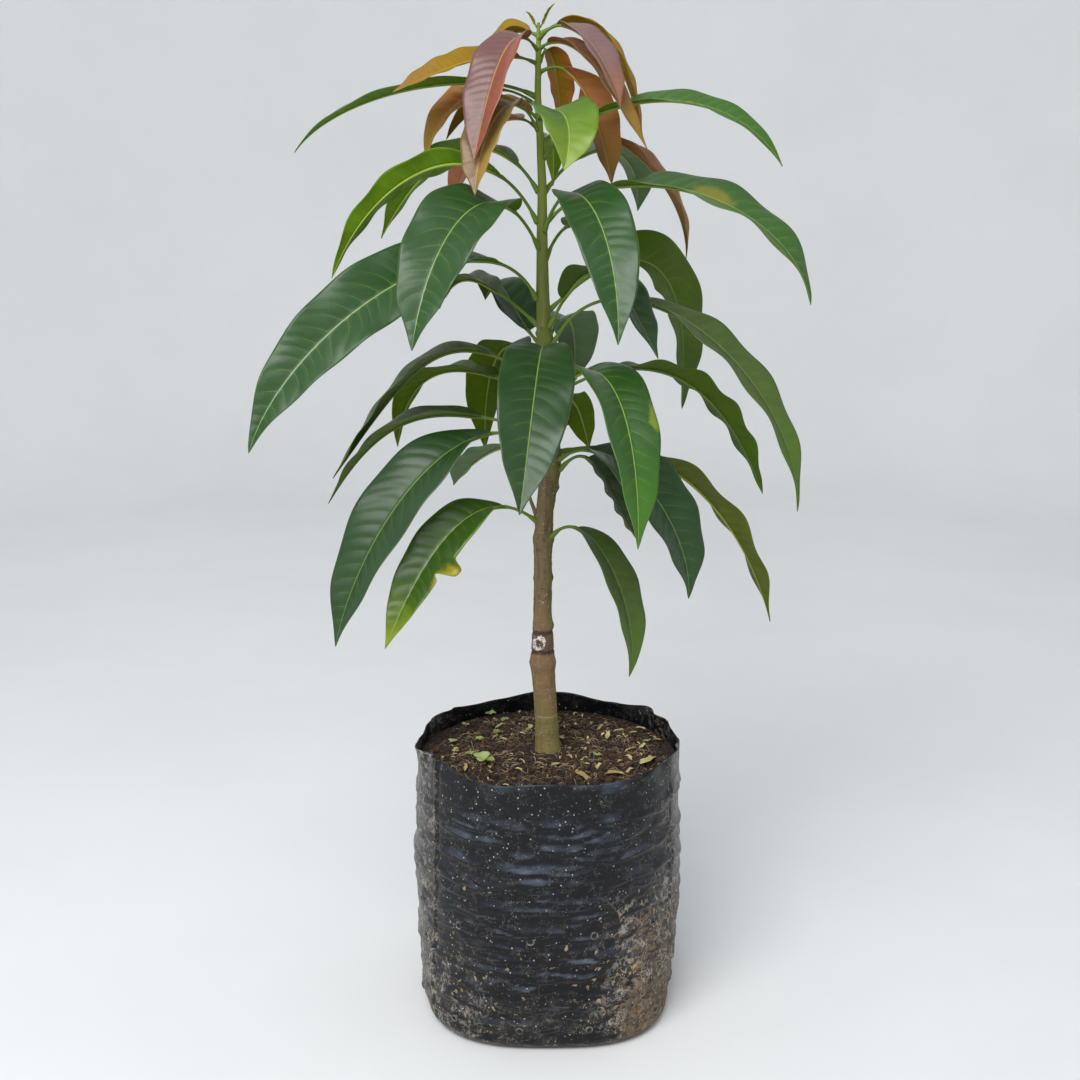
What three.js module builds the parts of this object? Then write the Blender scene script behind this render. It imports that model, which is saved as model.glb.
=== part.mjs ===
// Mango tree sapling in a black nursery grow bag.
//
// Millimetres, +Z up. The origin is the centre of the bag's flat underside. Azimuths are degrees
// about Z, counted from +X towards +Y: 0 is right, 90 is back, 180 is left and 270 is front.
// Every leaf is one solid, its stalk and blade together, and starts just clear of the trunk.

import * as THREE from 'three';

const GAP = 0.3; // clearance between solids that meet
const JOINT_GAP = 0.45; // the same at a leaf's joint, where the trunk tapers past it

// ---------------------------------------------------------------------------------------------
// Driving dimensions
// ---------------------------------------------------------------------------------------------

const BAG = {
  underRadius: 106, // edge of the flat underside
  footHeight: 14, // where the rounded bottom edge runs into the side
  footRadius: 119,
  bellyHeight: 130,
  bellyRadius: 127,
  rimHeight: 262,
  rimRadius: 123,
  wall: 1.6,
  rimWave: 2.5, // how far the slack rim rises and falls
  rimWaves: 6, // rises and falls round the rim, highest at the front and back
  corner: 0.1, // how much farther the flattened bottom reaches at its four slack corners
  cornerHeight: 110, // where the corners fade out
  segments: 40,
};

const SOIL = {
  surface: 250, // height at the trunk
  levelRadius: 26, // level ground round the trunk
  edgeDrop: 3, // how much lower it lies along the bag
};

// The trunk's centre line and thickness, from the flat cut at soil level to the growing tip.
// lean is how far the centre line lies towards +X.
const TRUNK = {
  segments: 12,
  sections: [
    { height: 250, lean: 0, radius: 13 }, // root flare
    { height: 262, lean: -0.5, radius: 11.2 },
    { height: 305, lean: -3, radius: 10.7 },
    { height: 328, lean: -4.5, radius: 11.2 },
    { height: 337, lean: -5, radius: 12.6 }, // lip of the healed graft
    { height: 344, lean: -5, radius: 10.8 },
    { height: 358, lean: -5, radius: 10.6 },
    { height: 368, lean: -5, radius: 9.9 },
    { height: 385, lean: -5, radius: 8.5 },
    { height: 440, lean: -4.7, radius: 8.3 },
    { height: 457, lean: -4.7, radius: 9.6 }, // joint of the low leaves
    { height: 466, lean: -4, radius: 8.4 },
    { height: 483, lean: -3, radius: 7.9 },
    { height: 508, lean: 0, radius: 8.9 },
    { height: 522, lean: 3.2, radius: 8.8 }, // elbow at the first whorl
    { height: 540, lean: 3.4, radius: 8 },
    { height: 585, lean: 0, radius: 7 },
    { height: 635, lean: -3, radius: 6.8 },
    { height: 655, lean: -4, radius: 6.7 },
    { height: 675, lean: -5, radius: 6 },
    { height: 727, lean: -5.7, radius: 4.9 },
    { height: 774, lean: -5.5, radius: 3.9 },
    { height: 822, lean: -7.8, radius: 3.1 },
    { height: 850, lean: -9.5, radius: 2.9 },
    { height: 886, lean: -8.8, radius: 2.4 },
    { height: 909, lean: -8.8, radius: 1.2 },
  ],
};

// A dead leaf stalk that still stands up beside the trunk.
const SPUR = {
  height: 478,
  azimuth: 175,
  rise: 70,
  length: 24,
  baseRadius: 2.4,
  tipRadius: 1.3,
  rings: 4,
};

const STALK = {
  swelling: 1.5, // how much thicker the stalk is where it joins the trunk
  stations: [0.2, 0.55, 1], // rings along it after the joint's own, as shares of its length
};

const BLADE = {
  thicknessRatio: 0.012, // thickness for each millimetre of the leaf's length
  leastThickness: 1,
  swell: 0.55, // exponents of the lance-shaped outline, towards the stalk
  fade: 0.8, // and towards the tip
  stations: [0.03, 0.09, 0.18, 0.3, 0.43, 0.56, 0.68, 0.79, 0.88, 0.95, 1],
  rollRun: 0.33, // share of the blade over which its roll builds up
};

const CURVE_STEPS = 60; // samples that measure a leaf's length

// Leaves by finish and from the ground up, lengths in mm and angles in degrees:
//   at:    [height of the joint on the trunk, azimuth]
//   stalk: [length, rise above level]
//   tip:   [reach from the trunk's axis, drop below the joint, fall below level, sideways swing]
//   arch:  how far both ends of the arch run straight, as a share of its span
//   blade: [width, roll about the midrib]

// Mature, dark green leaves, from the low pair up through five whorls.
const GREEN_LEAVES = {
  low_left: { at: [474, 212], stalk: [38, 40], tip: [165, 96, 65, 0], arch: 0.46, blade: [46, -36] },
  low_right: { at: [460, 326], stalk: [30, 50], tip: [96, 118, 105, -4], arch: 0.42, blade: [40, 10] },

  first_right_inner: { at: [523, 335], stalk: [30, 50], tip: [81, 60, 56, 7], arch: 0.54, blade: [61, -2] },
  first_right_broad: { at: [532, 327], stalk: [30, 38], tip: [144, 110, 93, -3], arch: 0.39, blade: [66, 15] },
  first_right_long: { at: [538, 5], stalk: [45, 13], tip: [210, 169, 75, 8], arch: 0.39, blade: [48, -19] },
  first_left_broad: { at: [540, 203], stalk: [55, 41], tip: [207, 163, 78, -3], arch: 0.4, blade: [68, -28] },
  first_left_narrow: { at: [556, 178], stalk: [55, 17], tip: [205, 68, 59, 0], arch: 0.5, blade: [48, 0] },
  first_back_left: { at: [535, 142], stalk: [45, 26], tip: [116, 42, 52, 4], arch: 0.36, blade: [50, 0] },
  first_back: { at: [532, 95], stalk: [35, 25], tip: [130, 25, 50, 0], arch: 0.45, blade: [50, 0] },

  second_front: { at: [629, 267], stalk: [30, 27], tip: [177, 111, 65, -12], arch: 0.38, blade: [66, -10] },
  second_right_front: { at: [585, 302], stalk: [35, 45], tip: [165, 102, 83, -17], arch: 0.6, blade: [56, 0] },
  second_right: { at: [590, 15], stalk: [55, 30], tip: [215, 104, 68, 6], arch: 0.48, blade: [43, -20] },
  second_left: { at: [599, 174], stalk: [50, 40], tip: [200, 90, 54, 0], arch: 0.54, blade: [45, -8] },
  second_left_back: { at: [585, 148], stalk: [50, 25], tip: [177, 60, 82, -7], arch: 0.5, blade: [46, 0] },
  second_back_left: { at: [611, 118], stalk: [40, 33], tip: [152, 96, 85, -12], arch: 0.52, blade: [50, 0] },
  second_back_right: { at: [587, 62], stalk: [25, 5], tip: [93, 61, 58, 4], arch: 0.43, blade: [31, -37] },
  second_back: { at: [600, 95], stalk: [35, 30], tip: [135, 60, 70, 0], arch: 0.45, blade: [50, 0] },

  third_right_long: { at: [635, 338], stalk: [90, 64], tip: [236, 131, 89, -11], arch: 0.46, blade: [38, 22] },
  third_right_broad: { at: [666, 26], stalk: [55, 40], tip: [153, 100, 92, 11], arch: 0.75, blade: [65, 62] },
  third_right_inner: { at: [652, 316], stalk: [30, 58], tip: [142, 17, 52, -12], arch: 0.7, blade: [48, 0] },
  third_back_right: { at: [635, 70], stalk: [35, 42], tip: [122, 50, 80, 14], arch: 0.52, blade: [50, 0] },
  third_back_left: { at: [635, 128], stalk: [20, 26], tip: [96, -34, 59, -4], arch: 0.55, blade: [50, 0] },
  third_left_inner: { at: [653, 156], stalk: [45, 38], tip: [107, -10, 67, -4], arch: 0.54, blade: [45, 0] },
  third_left_long: { at: [676, 204], stalk: [50, 64], tip: [272, 118, 71, 11], arch: 0.36, blade: [65, -53] },

  fourth_back_right: { at: [711, 50], stalk: [40, 60], tip: [118, 28, 72, 7], arch: 0.53, blade: [45, 0] },
  fourth_left_front: { at: [721, 230], stalk: [45, 55], tip: [175, 76, 74, 10], arch: 0.55, blade: [67, -24] },
  fourth_front: { at: [736, 298], stalk: [40, 56], tip: [162, 85, 80, -18], arch: 0.51, blade: [54, 22] },
  fourth_left: { at: [743, 192], stalk: [50, 64], tip: [185, 47, 69, -1], arch: 0.54, blade: [34, 44] },
  fourth_right_long: { at: [743, 341], stalk: [65, 47], tip: [239, 66, 79, -6], arch: 0.37, blade: [51, 18] },
  fourth_left_back: { at: [769, 157], stalk: [30, 58], tip: [161, 43, 61, 0], arch: 0.52, blade: [46, 8] },
  fourth_right_back: { at: [769, 44], stalk: [50, 48], tip: [137, 19, 90, 12], arch: 0.52, blade: [52, 0] },

  fifth_left: { at: [849, 188], stalk: [35, 27], tip: [209, 48, 55, 0], arch: 0.28, blade: [34, 0] },
  fifth_right: { at: [798, 330], stalk: [60, 50], tip: [215, 9, 61, 20], arch: 0.38, blade: [32, 18] },
};

// Fresh, light green leaves.
const FRESH_LEAVES = {
  fifth_front: { at: [830, 297], stalk: [15, 24], tip: [93, 44, 82, -25], arch: 0.4, blade: [56, 10] },
  fifth_back: { at: [804, 80], stalk: [20, 32], tip: [107, 31, 75, 7], arch: 0.45, blade: [24, 0] },
};

// Young leaves that have turned from pink to olive, gold or bronze.
const BRONZE_LEAVES = {
  bronze_right_long: { at: [812, 15], stalk: [62, 33], tip: [138, 103, 92, 3], arch: 0.38, blade: [34, 26] },
  bronze_left: { at: [821, 227], stalk: [31, 58], tip: [93, 55, 77, 14], arch: 0.54, blade: [42, -13] },
  bronze_right: { at: [888, 313], stalk: [10, 26], tip: [125, 85, 50, 4], arch: 0.34, blade: [28, 0] },
  olive_left: { at: [832, 150], stalk: [5, 36], tip: [100, 18, 46, -6], arch: 0.43, blade: [30, 0] },
  olive_top: { at: [899, 152], stalk: [8, 26], tip: [50, 36, 95, 0], arch: 0.5, blade: [34, -30] },
  gold_left: { at: [876, 203], stalk: [15, 24], tip: [131, 27, 24, 0], arch: 0.3, blade: [31, -26] },
  gold_right: { at: [900, 354], stalk: [15, 34], tip: [90, 85, 76, 0], arch: 0.48, blade: [32, 4] },
  orange_left: { at: [842, 170], stalk: [30, 40], tip: [100, 47, 82, 0], arch: 0.45, blade: [34, -46] },
};

// The youngest leaves, pink to salmon.
const PINK_LEAVES = {
  pink_left: { at: [887, 236], stalk: [17, 38], tip: [94, 93, 72, 0], arch: 0.42, blade: [46, 0] },
  pink_right: { at: [896, 308], stalk: [32, 36], tip: [108, 60, 68, 0], arch: 0.38, blade: [33, 0] },
  salmon_left: { at: [822, 133], stalk: [20, 34], tip: [122, 72, 70, 0], arch: 0.4, blade: [36, 0] },
  salmon_inner: { at: [878, 52], stalk: [12, 62], tip: [33, 50, 85, 0], arch: 0.58, blade: [31, 0] },
  salmon_right: { at: [869, 350], stalk: [20, 30], tip: [65, 94, 80, -3], arch: 0.36, blade: [40, -60] },
};

// fold is how deep a blade folds along its midrib, in degrees.
const FOLIAGE = [
  { leaves: GREEN_LEAVES, fold: 17, stalkRadius: 1.5, finish: { color: 0x3f6b3c, roughness: 0.45 } },
  { leaves: FRESH_LEAVES, fold: 20, stalkRadius: 1.3, finish: { color: 0x7faa3c, roughness: 0.5 } },
  { leaves: BRONZE_LEAVES, fold: 24, stalkRadius: 1.1, finish: { color: 0x9a6a3a, roughness: 0.4 } },
  { leaves: PINK_LEAVES, fold: 24, stalkRadius: 1.1, finish: { color: 0xb98070, roughness: 0.35 } },
];

// The two leaflets still unfolding at the growing tip.
const LEAFLET = { height: 906, stalk: 2, rise: 50, fall: -40, arch: 0.4, width: 5, stalkRadius: 0.5 };
const LEAFLETS = {
  leaflet_left: { azimuth: 190, reach: 11, climb: 12 },
  leaflet_right: { azimuth: 350, reach: 14, climb: 18 },
};

// ---------------------------------------------------------------------------------------------
// Shape helpers
// ---------------------------------------------------------------------------------------------

const { degToRad, lerp, smoothstep } = THREE.MathUtils;

/** A closed body through rings of equally many points, each counter-clockwise seen from its end. */
function loft(rings) {
  const sides = rings[0].length;
  const middle = (ring) =>
    ring.reduce((sum, point) => sum.add(point), new THREE.Vector3()).divideScalar(sides);
  const points = [...rings.flat(), middle(rings[0]), middle(rings.at(-1))];
  const firstMiddle = points.length - 2;
  const lastMiddle = points.length - 1;
  const lastRing = (rings.length - 1) * sides;
  const faces = [];
  for (let side = 0; side < sides; side++) {
    const next = (side + 1) % sides;
    for (let ring = 0; ring < lastRing; ring += sides) {
      faces.push(ring + side, ring + next, ring + sides + next);
      faces.push(ring + side, ring + sides + next, ring + sides + side);
    }
    faces.push(firstMiddle, next, side);
    faces.push(lastMiddle, lastRing + side, lastRing + next);
  }
  const geometry = new THREE.BufferGeometry().setFromPoints(points);
  geometry.setIndex(faces);
  return geometry.toNonIndexed();
}

/** Points of a level ring about the Z axis. radius and height may vary with the angle. */
function levelRing(segments, centreX, radius, height) {
  return Array.from({ length: segments }, (_, i) => {
    const angle = (2 * Math.PI * i) / segments;
    return new THREE.Vector3(
      centreX + radius * Math.cos(angle),
      radius * Math.sin(angle),
      typeof height === 'function' ? height(angle) : height,
    );
  });
}

/** A mesh with its name and a plain standard material. */
function named(name, geometry, { color, roughness }) {
  geometry.computeVertexNormals();
  const mesh = new THREE.Mesh(
    geometry,
    new THREE.MeshStandardMaterial({ color, roughness, metalness: 0, side: THREE.DoubleSide }),
  );
  mesh.name = name;
  return mesh;
}

/** The trunk's lean and radius at a height. */
function trunkAt(height) {
  const { sections } = TRUNK;
  const above = Math.max(1, sections.findIndex((section) => section.height >= height));
  const [low, high] = [sections[above - 1], sections[above]];
  const share = (height - low.height) / (high.height - low.height);
  return { lean: lerp(low.lean, high.lean, share), radius: lerp(low.radius, high.radius, share) };
}

// ---------------------------------------------------------------------------------------------
// Bag and soil
// ---------------------------------------------------------------------------------------------

/** Radius of the bag's outer face at a height above its rounded bottom edge. */
function bagRadius(height) {
  const { footHeight, footRadius, bellyHeight, bellyRadius, rimHeight, rimRadius } = BAG;
  if (height < bellyHeight) {
    const share = (height - footHeight) / (bellyHeight - footHeight);
    return lerp(footRadius, bellyRadius, Math.sin((share * Math.PI) / 2));
  }
  const share = (height - bellyHeight) / (rimHeight - bellyHeight);
  return lerp(bellyRadius, rimRadius, share * share);
}

/** Radius of the bag's outer face on the quarter-round bottom edge. */
function bottomEdgeRadius(height) {
  const share = 1 - height / BAG.footHeight;
  return BAG.underRadius + (BAG.footRadius - BAG.underRadius) * Math.sqrt(1 - share * share);
}

/** A ring of the bag or of its soil, drawn out to the four corners of the flattened bottom. */
function bagRing(radius, height) {
  const { segments, corner, cornerHeight } = BAG;
  const fade = Math.max(0, 1 - height / cornerHeight);
  return levelRing(segments, 0, radius, height).map((point) => {
    const angle = Math.atan2(point.y, point.x);
    const stretch = 1 + corner * fade * Math.sin(2 * angle) ** 2;
    return new THREE.Vector3(point.x * stretch, point.y * stretch, point.z);
  });
}

/** The bag as a cup of one thin wall, up its outside and down its inside. */
function makeBag() {
  const { segments, wall, underRadius, footHeight, rimHeight, rimWave, rimWaves } = BAG;
  const sideHeights = [30, 50, 70, 90, 110, 150, 190, 225];
  const edgeHeights = [2, 6];
  const rim = (angle) => rimHeight - rimWave * Math.cos(rimWaves * angle);
  const outside = [
    bagRing(underRadius / 2, 0),
    bagRing(underRadius, 0),
    ...edgeHeights.map((height) => bagRing(bottomEdgeRadius(height), height)),
    bagRing(BAG.footRadius, footHeight),
    ...sideHeights.map((height) => bagRing(bagRadius(height), height)),
    levelRing(segments, 0, BAG.rimRadius, rim),
  ];
  const inside = [
    levelRing(segments, 0, BAG.rimRadius - wall, rim),
    ...sideHeights.toReversed().map((height) => bagRing(bagRadius(height) - wall, height)),
    bagRing(BAG.footRadius - wall, footHeight),
    bagRing(underRadius, wall),
    bagRing(underRadius / 2, wall),
  ];
  return loft([...outside, ...inside]);
}

/** The potting soil, which fills the bag to a little below its rim. */
function makeSoil() {
  const { surface, levelRadius, edgeDrop } = SOIL;
  const { wall, underRadius, footHeight } = BAG;
  const clearance = wall + GAP;
  const edge = surface - edgeDrop;
  const inner = (height) => bagRadius(height) - clearance - GAP;
  const heights = [30, 50, 70, 90, 110, 150, 190, 225, edge];
  return loft([
    bagRing(underRadius - 2 * GAP, clearance),
    bagRing(BAG.footRadius - clearance - 2 * GAP, footHeight + GAP),
    ...heights.map((height) => bagRing(inner(height), height)),
    bagRing(levelRadius, surface),
  ]);
}

// ---------------------------------------------------------------------------------------------
// Trunk and spur
// ---------------------------------------------------------------------------------------------

/** The whole trunk, from its flat cut to the growing tip. */
function makeTrunk() {
  const { segments, sections } = TRUNK;
  return loft(
    sections.map(({ height, lean, radius }, i) =>
      levelRing(segments, lean, radius, i === 0 ? height + GAP : height),
    ),
  );
}

/** A short tapering stub that starts clear of the trunk's side. */
function makeSpur() {
  const { height, azimuth, rise, length, baseRadius, tipRadius, rings } = SPUR;
  const { lean, radius } = trunkAt(height);
  const out = new THREE.Vector3(Math.cos(degToRad(azimuth)), Math.sin(degToRad(azimuth)), 0);
  const side = new THREE.Vector3(-out.y, out.x, 0);
  const up = new THREE.Vector3(0, 0, 1);
  const along = out.clone().multiplyScalar(Math.cos(degToRad(rise)));
  along.addScaledVector(up, Math.sin(degToRad(rise)));
  const start = new THREE.Vector3(lean, 0, height);
  start.addScaledVector(out, radius + JOINT_GAP + baseRadius);
  return loft(
    Array.from({ length: rings }, (_, i) => {
      const share = i / (rings - 1);
      const centre = start.clone().addScaledVector(along, share * length);
      const thickness = lerp(baseRadius, tipRadius, share);
      const normal = new THREE.Vector3().crossVectors(along, side);
      return hexagon(centre, side, normal, thickness);
    }),
  );
}

// ---------------------------------------------------------------------------------------------
// Leaves
// ---------------------------------------------------------------------------------------------

/** Six points round a centre, flattened to halfWidth by halfDepth and folded by lift at its edges. */
function section(centre, side, normal, { halfWidth, edgeDepth, middleDepth, lift }) {
  const corners = [
    [halfWidth, lift - edgeDepth],
    [halfWidth, lift + edgeDepth],
    [0, middleDepth],
    [-halfWidth, lift + edgeDepth],
    [-halfWidth, lift - edgeDepth],
    [0, -middleDepth],
  ];
  return corners.map(([across, high]) =>
    centre.clone().addScaledVector(side, across).addScaledVector(normal, high),
  );
}

/** A regular hexagon round a centre. */
function hexagon(centre, side, normal, radius) {
  const halfWidth = radius * Math.cos(Math.PI / 6);
  return section(centre, side, normal, { halfWidth, edgeDepth: radius / 2, middleDepth: radius, lift: 0 });
}

/** Share of the full width at a share of the blade's length: a lance shape, 1 at its widest. */
function outline(share) {
  const { swell, fade } = BLADE;
  const widest = swell / (swell + fade);
  return (share / widest) ** swell * ((1 - share) / (1 - widest)) ** fade;
}

/** The arch that a leaf's midrib follows from the trunk's side to its tip. */
function midrib({ at, stalk, tip, arch }) {
  const [height, azimuth] = at;
  const [, rise] = stalk;
  const [reach, drop, fall, swing] = tip;
  const { lean, radius } = trunkAt(height);
  const angle = degToRad(azimuth);
  const place = (out, up, sideways) =>
    new THREE.Vector3(
      lean + out * Math.cos(angle) - sideways * Math.sin(angle),
      out * Math.sin(angle) + sideways * Math.cos(angle),
      height + up,
    );
  const start = radius + JOINT_GAP;
  const pull = arch * Math.hypot(reach - start, drop);
  return new THREE.CubicBezierCurve3(
    place(start, 0, 0),
    place(start + pull * Math.cos(degToRad(rise)), pull * Math.sin(degToRad(rise)), 0),
    place(reach - pull * Math.cos(degToRad(fall)), pull * Math.sin(degToRad(fall)) - drop, swing / 3),
    place(reach, -drop, swing),
  );
}

/** One leaf: a stalk that spreads into a folded, arching, lance-shaped blade. */
function makeLeaf(leaf, fold, stalkRadius) {
  const curve = midrib(leaf);
  curve.arcLengthDivisions = CURVE_STEPS;
  const length = curve.getLength();
  const [stalkLength] = leaf.stalk;
  const [width, roll] = leaf.blade;
  const thickness = Math.max(BLADE.leastThickness, BLADE.thicknessRatio * length);
  const angle = degToRad(leaf.at[1]);
  const across = new THREE.Vector3(-Math.sin(angle), Math.cos(angle), 0);

  const ringAt = (distance, turn, shape) => {
    const share = Math.min(distance / length, 1);
    const centre = curve.getPointAt(share);
    const along = curve.getTangentAt(share);
    const side = across.clone().addScaledVector(along, -across.dot(along)).normalize();
    side.applyAxisAngle(along, turn);
    return section(centre, side, new THREE.Vector3().crossVectors(along, side), shape);
  };

  const stalkRings = STALK.stations.map((share) =>
    ringAt(share * stalkLength, 0, {
      halfWidth: stalkRadius * Math.cos(Math.PI / 6),
      edgeDepth: stalkRadius / 2,
      middleDepth: stalkRadius,
      lift: 0,
    }),
  );
  // The first ring stands upright, so that the joint lies flat along the trunk.
  const upright = new THREE.Vector3(0, 0, 1);
  const joint = hexagon(curve.getPointAt(0), across, upright, stalkRadius * STALK.swelling);

  const bladeRings = BLADE.stations.map((share) => {
    const halfWidth = Math.max((width / 2) * outline(share), thickness / 2);
    const turn = degToRad(roll) * smoothstep(share, 0, BLADE.rollRun);
    return ringAt(stalkLength + share * (length - stalkLength), turn, {
      halfWidth: halfWidth * Math.cos(degToRad(fold)),
      edgeDepth: thickness / 2,
      middleDepth: thickness / 2,
      lift: (halfWidth - thickness / 2) * Math.sin(degToRad(fold)),
    });
  });
  return loft([joint, ...stalkRings, ...bladeRings]);
}

/** One of the tiny leaflets, which climb past the growing tip. */
function makeLeaflet({ azimuth, reach, climb }) {
  const { height, stalk, rise, fall, arch, width, stalkRadius } = LEAFLET;
  const leaf = {
    at: [height, azimuth],
    stalk: [stalk, rise],
    tip: [reach, -climb, fall, 0],
    arch,
    blade: [width, 0],
  };
  return makeLeaf(leaf, FOLIAGE.at(-1).fold, stalkRadius);
}

// ---------------------------------------------------------------------------------------------
// Assembly
// ---------------------------------------------------------------------------------------------

const FILM = { color: 0x23262b, roughness: 0.4 };
const EARTH = { color: 0x3c2e22, roughness: 0.95 };
const BARK = { color: 0x86705a, roughness: 0.8 };

const sapling = new THREE.Group();
sapling.add(named('grow_bag', makeBag(), FILM));
sapling.add(named('potting_soil', makeSoil(), EARTH));
sapling.add(named('trunk', makeTrunk(), BARK));
sapling.add(named('spur', makeSpur(), BARK));
for (const { finish, fold, stalkRadius, leaves } of FOLIAGE) {
  for (const [name, leaf] of Object.entries(leaves)) {
    sapling.add(named(`leaf_${name}`, makeLeaf(leaf, fold, stalkRadius), finish));
  }
}
for (const [name, leaflet] of Object.entries(LEAFLETS)) {
  sapling.add(named(name, makeLeaflet(leaflet), FOLIAGE.at(-1).finish));
}

export default sapling;
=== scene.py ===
"""Looks of a mango tree sapling in a nursery grow bag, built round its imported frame.

Sizes are millimetres unless a note says otherwise, and become metres where a mesh is laid out. +Z is up
and the origin is the centre of the bag's flat underside. Azimuths are degrees about Z: 0 is right (+X),
90 is back, 180 is left and 270 is front. A leaf's shares run from 0 at its stalk or midrib to 1 at its
tip or margin.
"""

from __future__ import annotations

import logging
import math
import random
from dataclasses import dataclass
from enum import Enum

import bpy
import numpy as np
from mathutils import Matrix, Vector, noise


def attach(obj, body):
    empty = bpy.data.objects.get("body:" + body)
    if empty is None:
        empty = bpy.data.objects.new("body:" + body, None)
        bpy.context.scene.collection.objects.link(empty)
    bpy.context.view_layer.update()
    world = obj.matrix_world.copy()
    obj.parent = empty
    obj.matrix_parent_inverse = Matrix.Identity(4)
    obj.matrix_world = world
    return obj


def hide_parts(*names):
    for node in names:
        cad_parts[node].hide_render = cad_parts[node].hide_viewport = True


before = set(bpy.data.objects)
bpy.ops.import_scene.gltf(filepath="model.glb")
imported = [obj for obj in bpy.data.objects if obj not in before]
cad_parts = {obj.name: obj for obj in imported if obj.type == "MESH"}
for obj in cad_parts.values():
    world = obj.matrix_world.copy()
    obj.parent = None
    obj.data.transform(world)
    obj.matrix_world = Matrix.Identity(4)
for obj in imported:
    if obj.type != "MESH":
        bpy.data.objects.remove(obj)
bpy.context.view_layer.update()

MM = 0.001  # metres in a millimetre
SEAM_GAP = 0.000001  # metres within which the two edges of a seam are merged
NOISE_GAIN = 1.6  # brings Blender's noise to about -1 to 1
BODY = "root"
LOG = logging.getLogger("sapling")
Piece = bpy.types.Object
Pair = tuple[float, float]
Triple = tuple[float, float, float]
Colour = Triple


def rgb(red: int, green: int, blue: int) -> Colour:
    """Turns a screen colour, 0 to 255 a channel, into the linear one that shaders use."""
    shares = np.array([red, green, blue]) / 255
    linear = np.where(shares <= 0.04045, shares / 12.92, ((shares + 0.055) / 1.055) ** 2.4)
    return tuple(float(channel) for channel in linear)


def lighter(colour: Colour, factor: float) -> Colour:
    """Scales a linear colour, without passing white."""
    return tuple(min(channel * factor, 1.0) for channel in colour)


# ---------------------------------------------------------------------------------------------
# Shader maths
# ---------------------------------------------------------------------------------------------


class Value:
    """One output socket of a material's node. Arithmetic on it adds Math nodes."""

    def __init__(self, shader: Shader, socket: bpy.types.NodeSocket) -> None:
        """Wraps a socket."""
        self.shader = shader
        self.socket = socket

    def math(self, operation: str, *others: Value | float) -> Value:
        """Adds a Math node whose first input is this value, and returns its result."""
        return self.shader.math(operation, self, *others)

    def __add__(self, other: Value | float) -> Value:
        """Sum."""
        return self.math("ADD", other)

    __radd__ = __add__

    def __mul__(self, other: Value | float) -> Value:
        """Product."""
        return self.math("MULTIPLY", other)

    def __sub__(self, other: Value | float) -> Value:
        """Difference."""
        return self.math("SUBTRACT", other)

    def __rsub__(self, other: Value | float) -> Value:
        """Difference, the other way round."""
        return self.shader.math("SUBTRACT", other, self)

    def __abs__(self) -> Value:
        """Size without sign."""
        return self.math("ABSOLUTE")

    def rise(self, low: float, high: float) -> Value:
        """Eases from 0 at low to 1 at high, or from 1 to 0 where low is the greater."""
        ends = {"Value": self, "From Min": low, "From Max": high}
        return self.shader.node("ShaderNodeMapRange", {"interpolation_type": "SMOOTHSTEP"}, ends)


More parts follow.
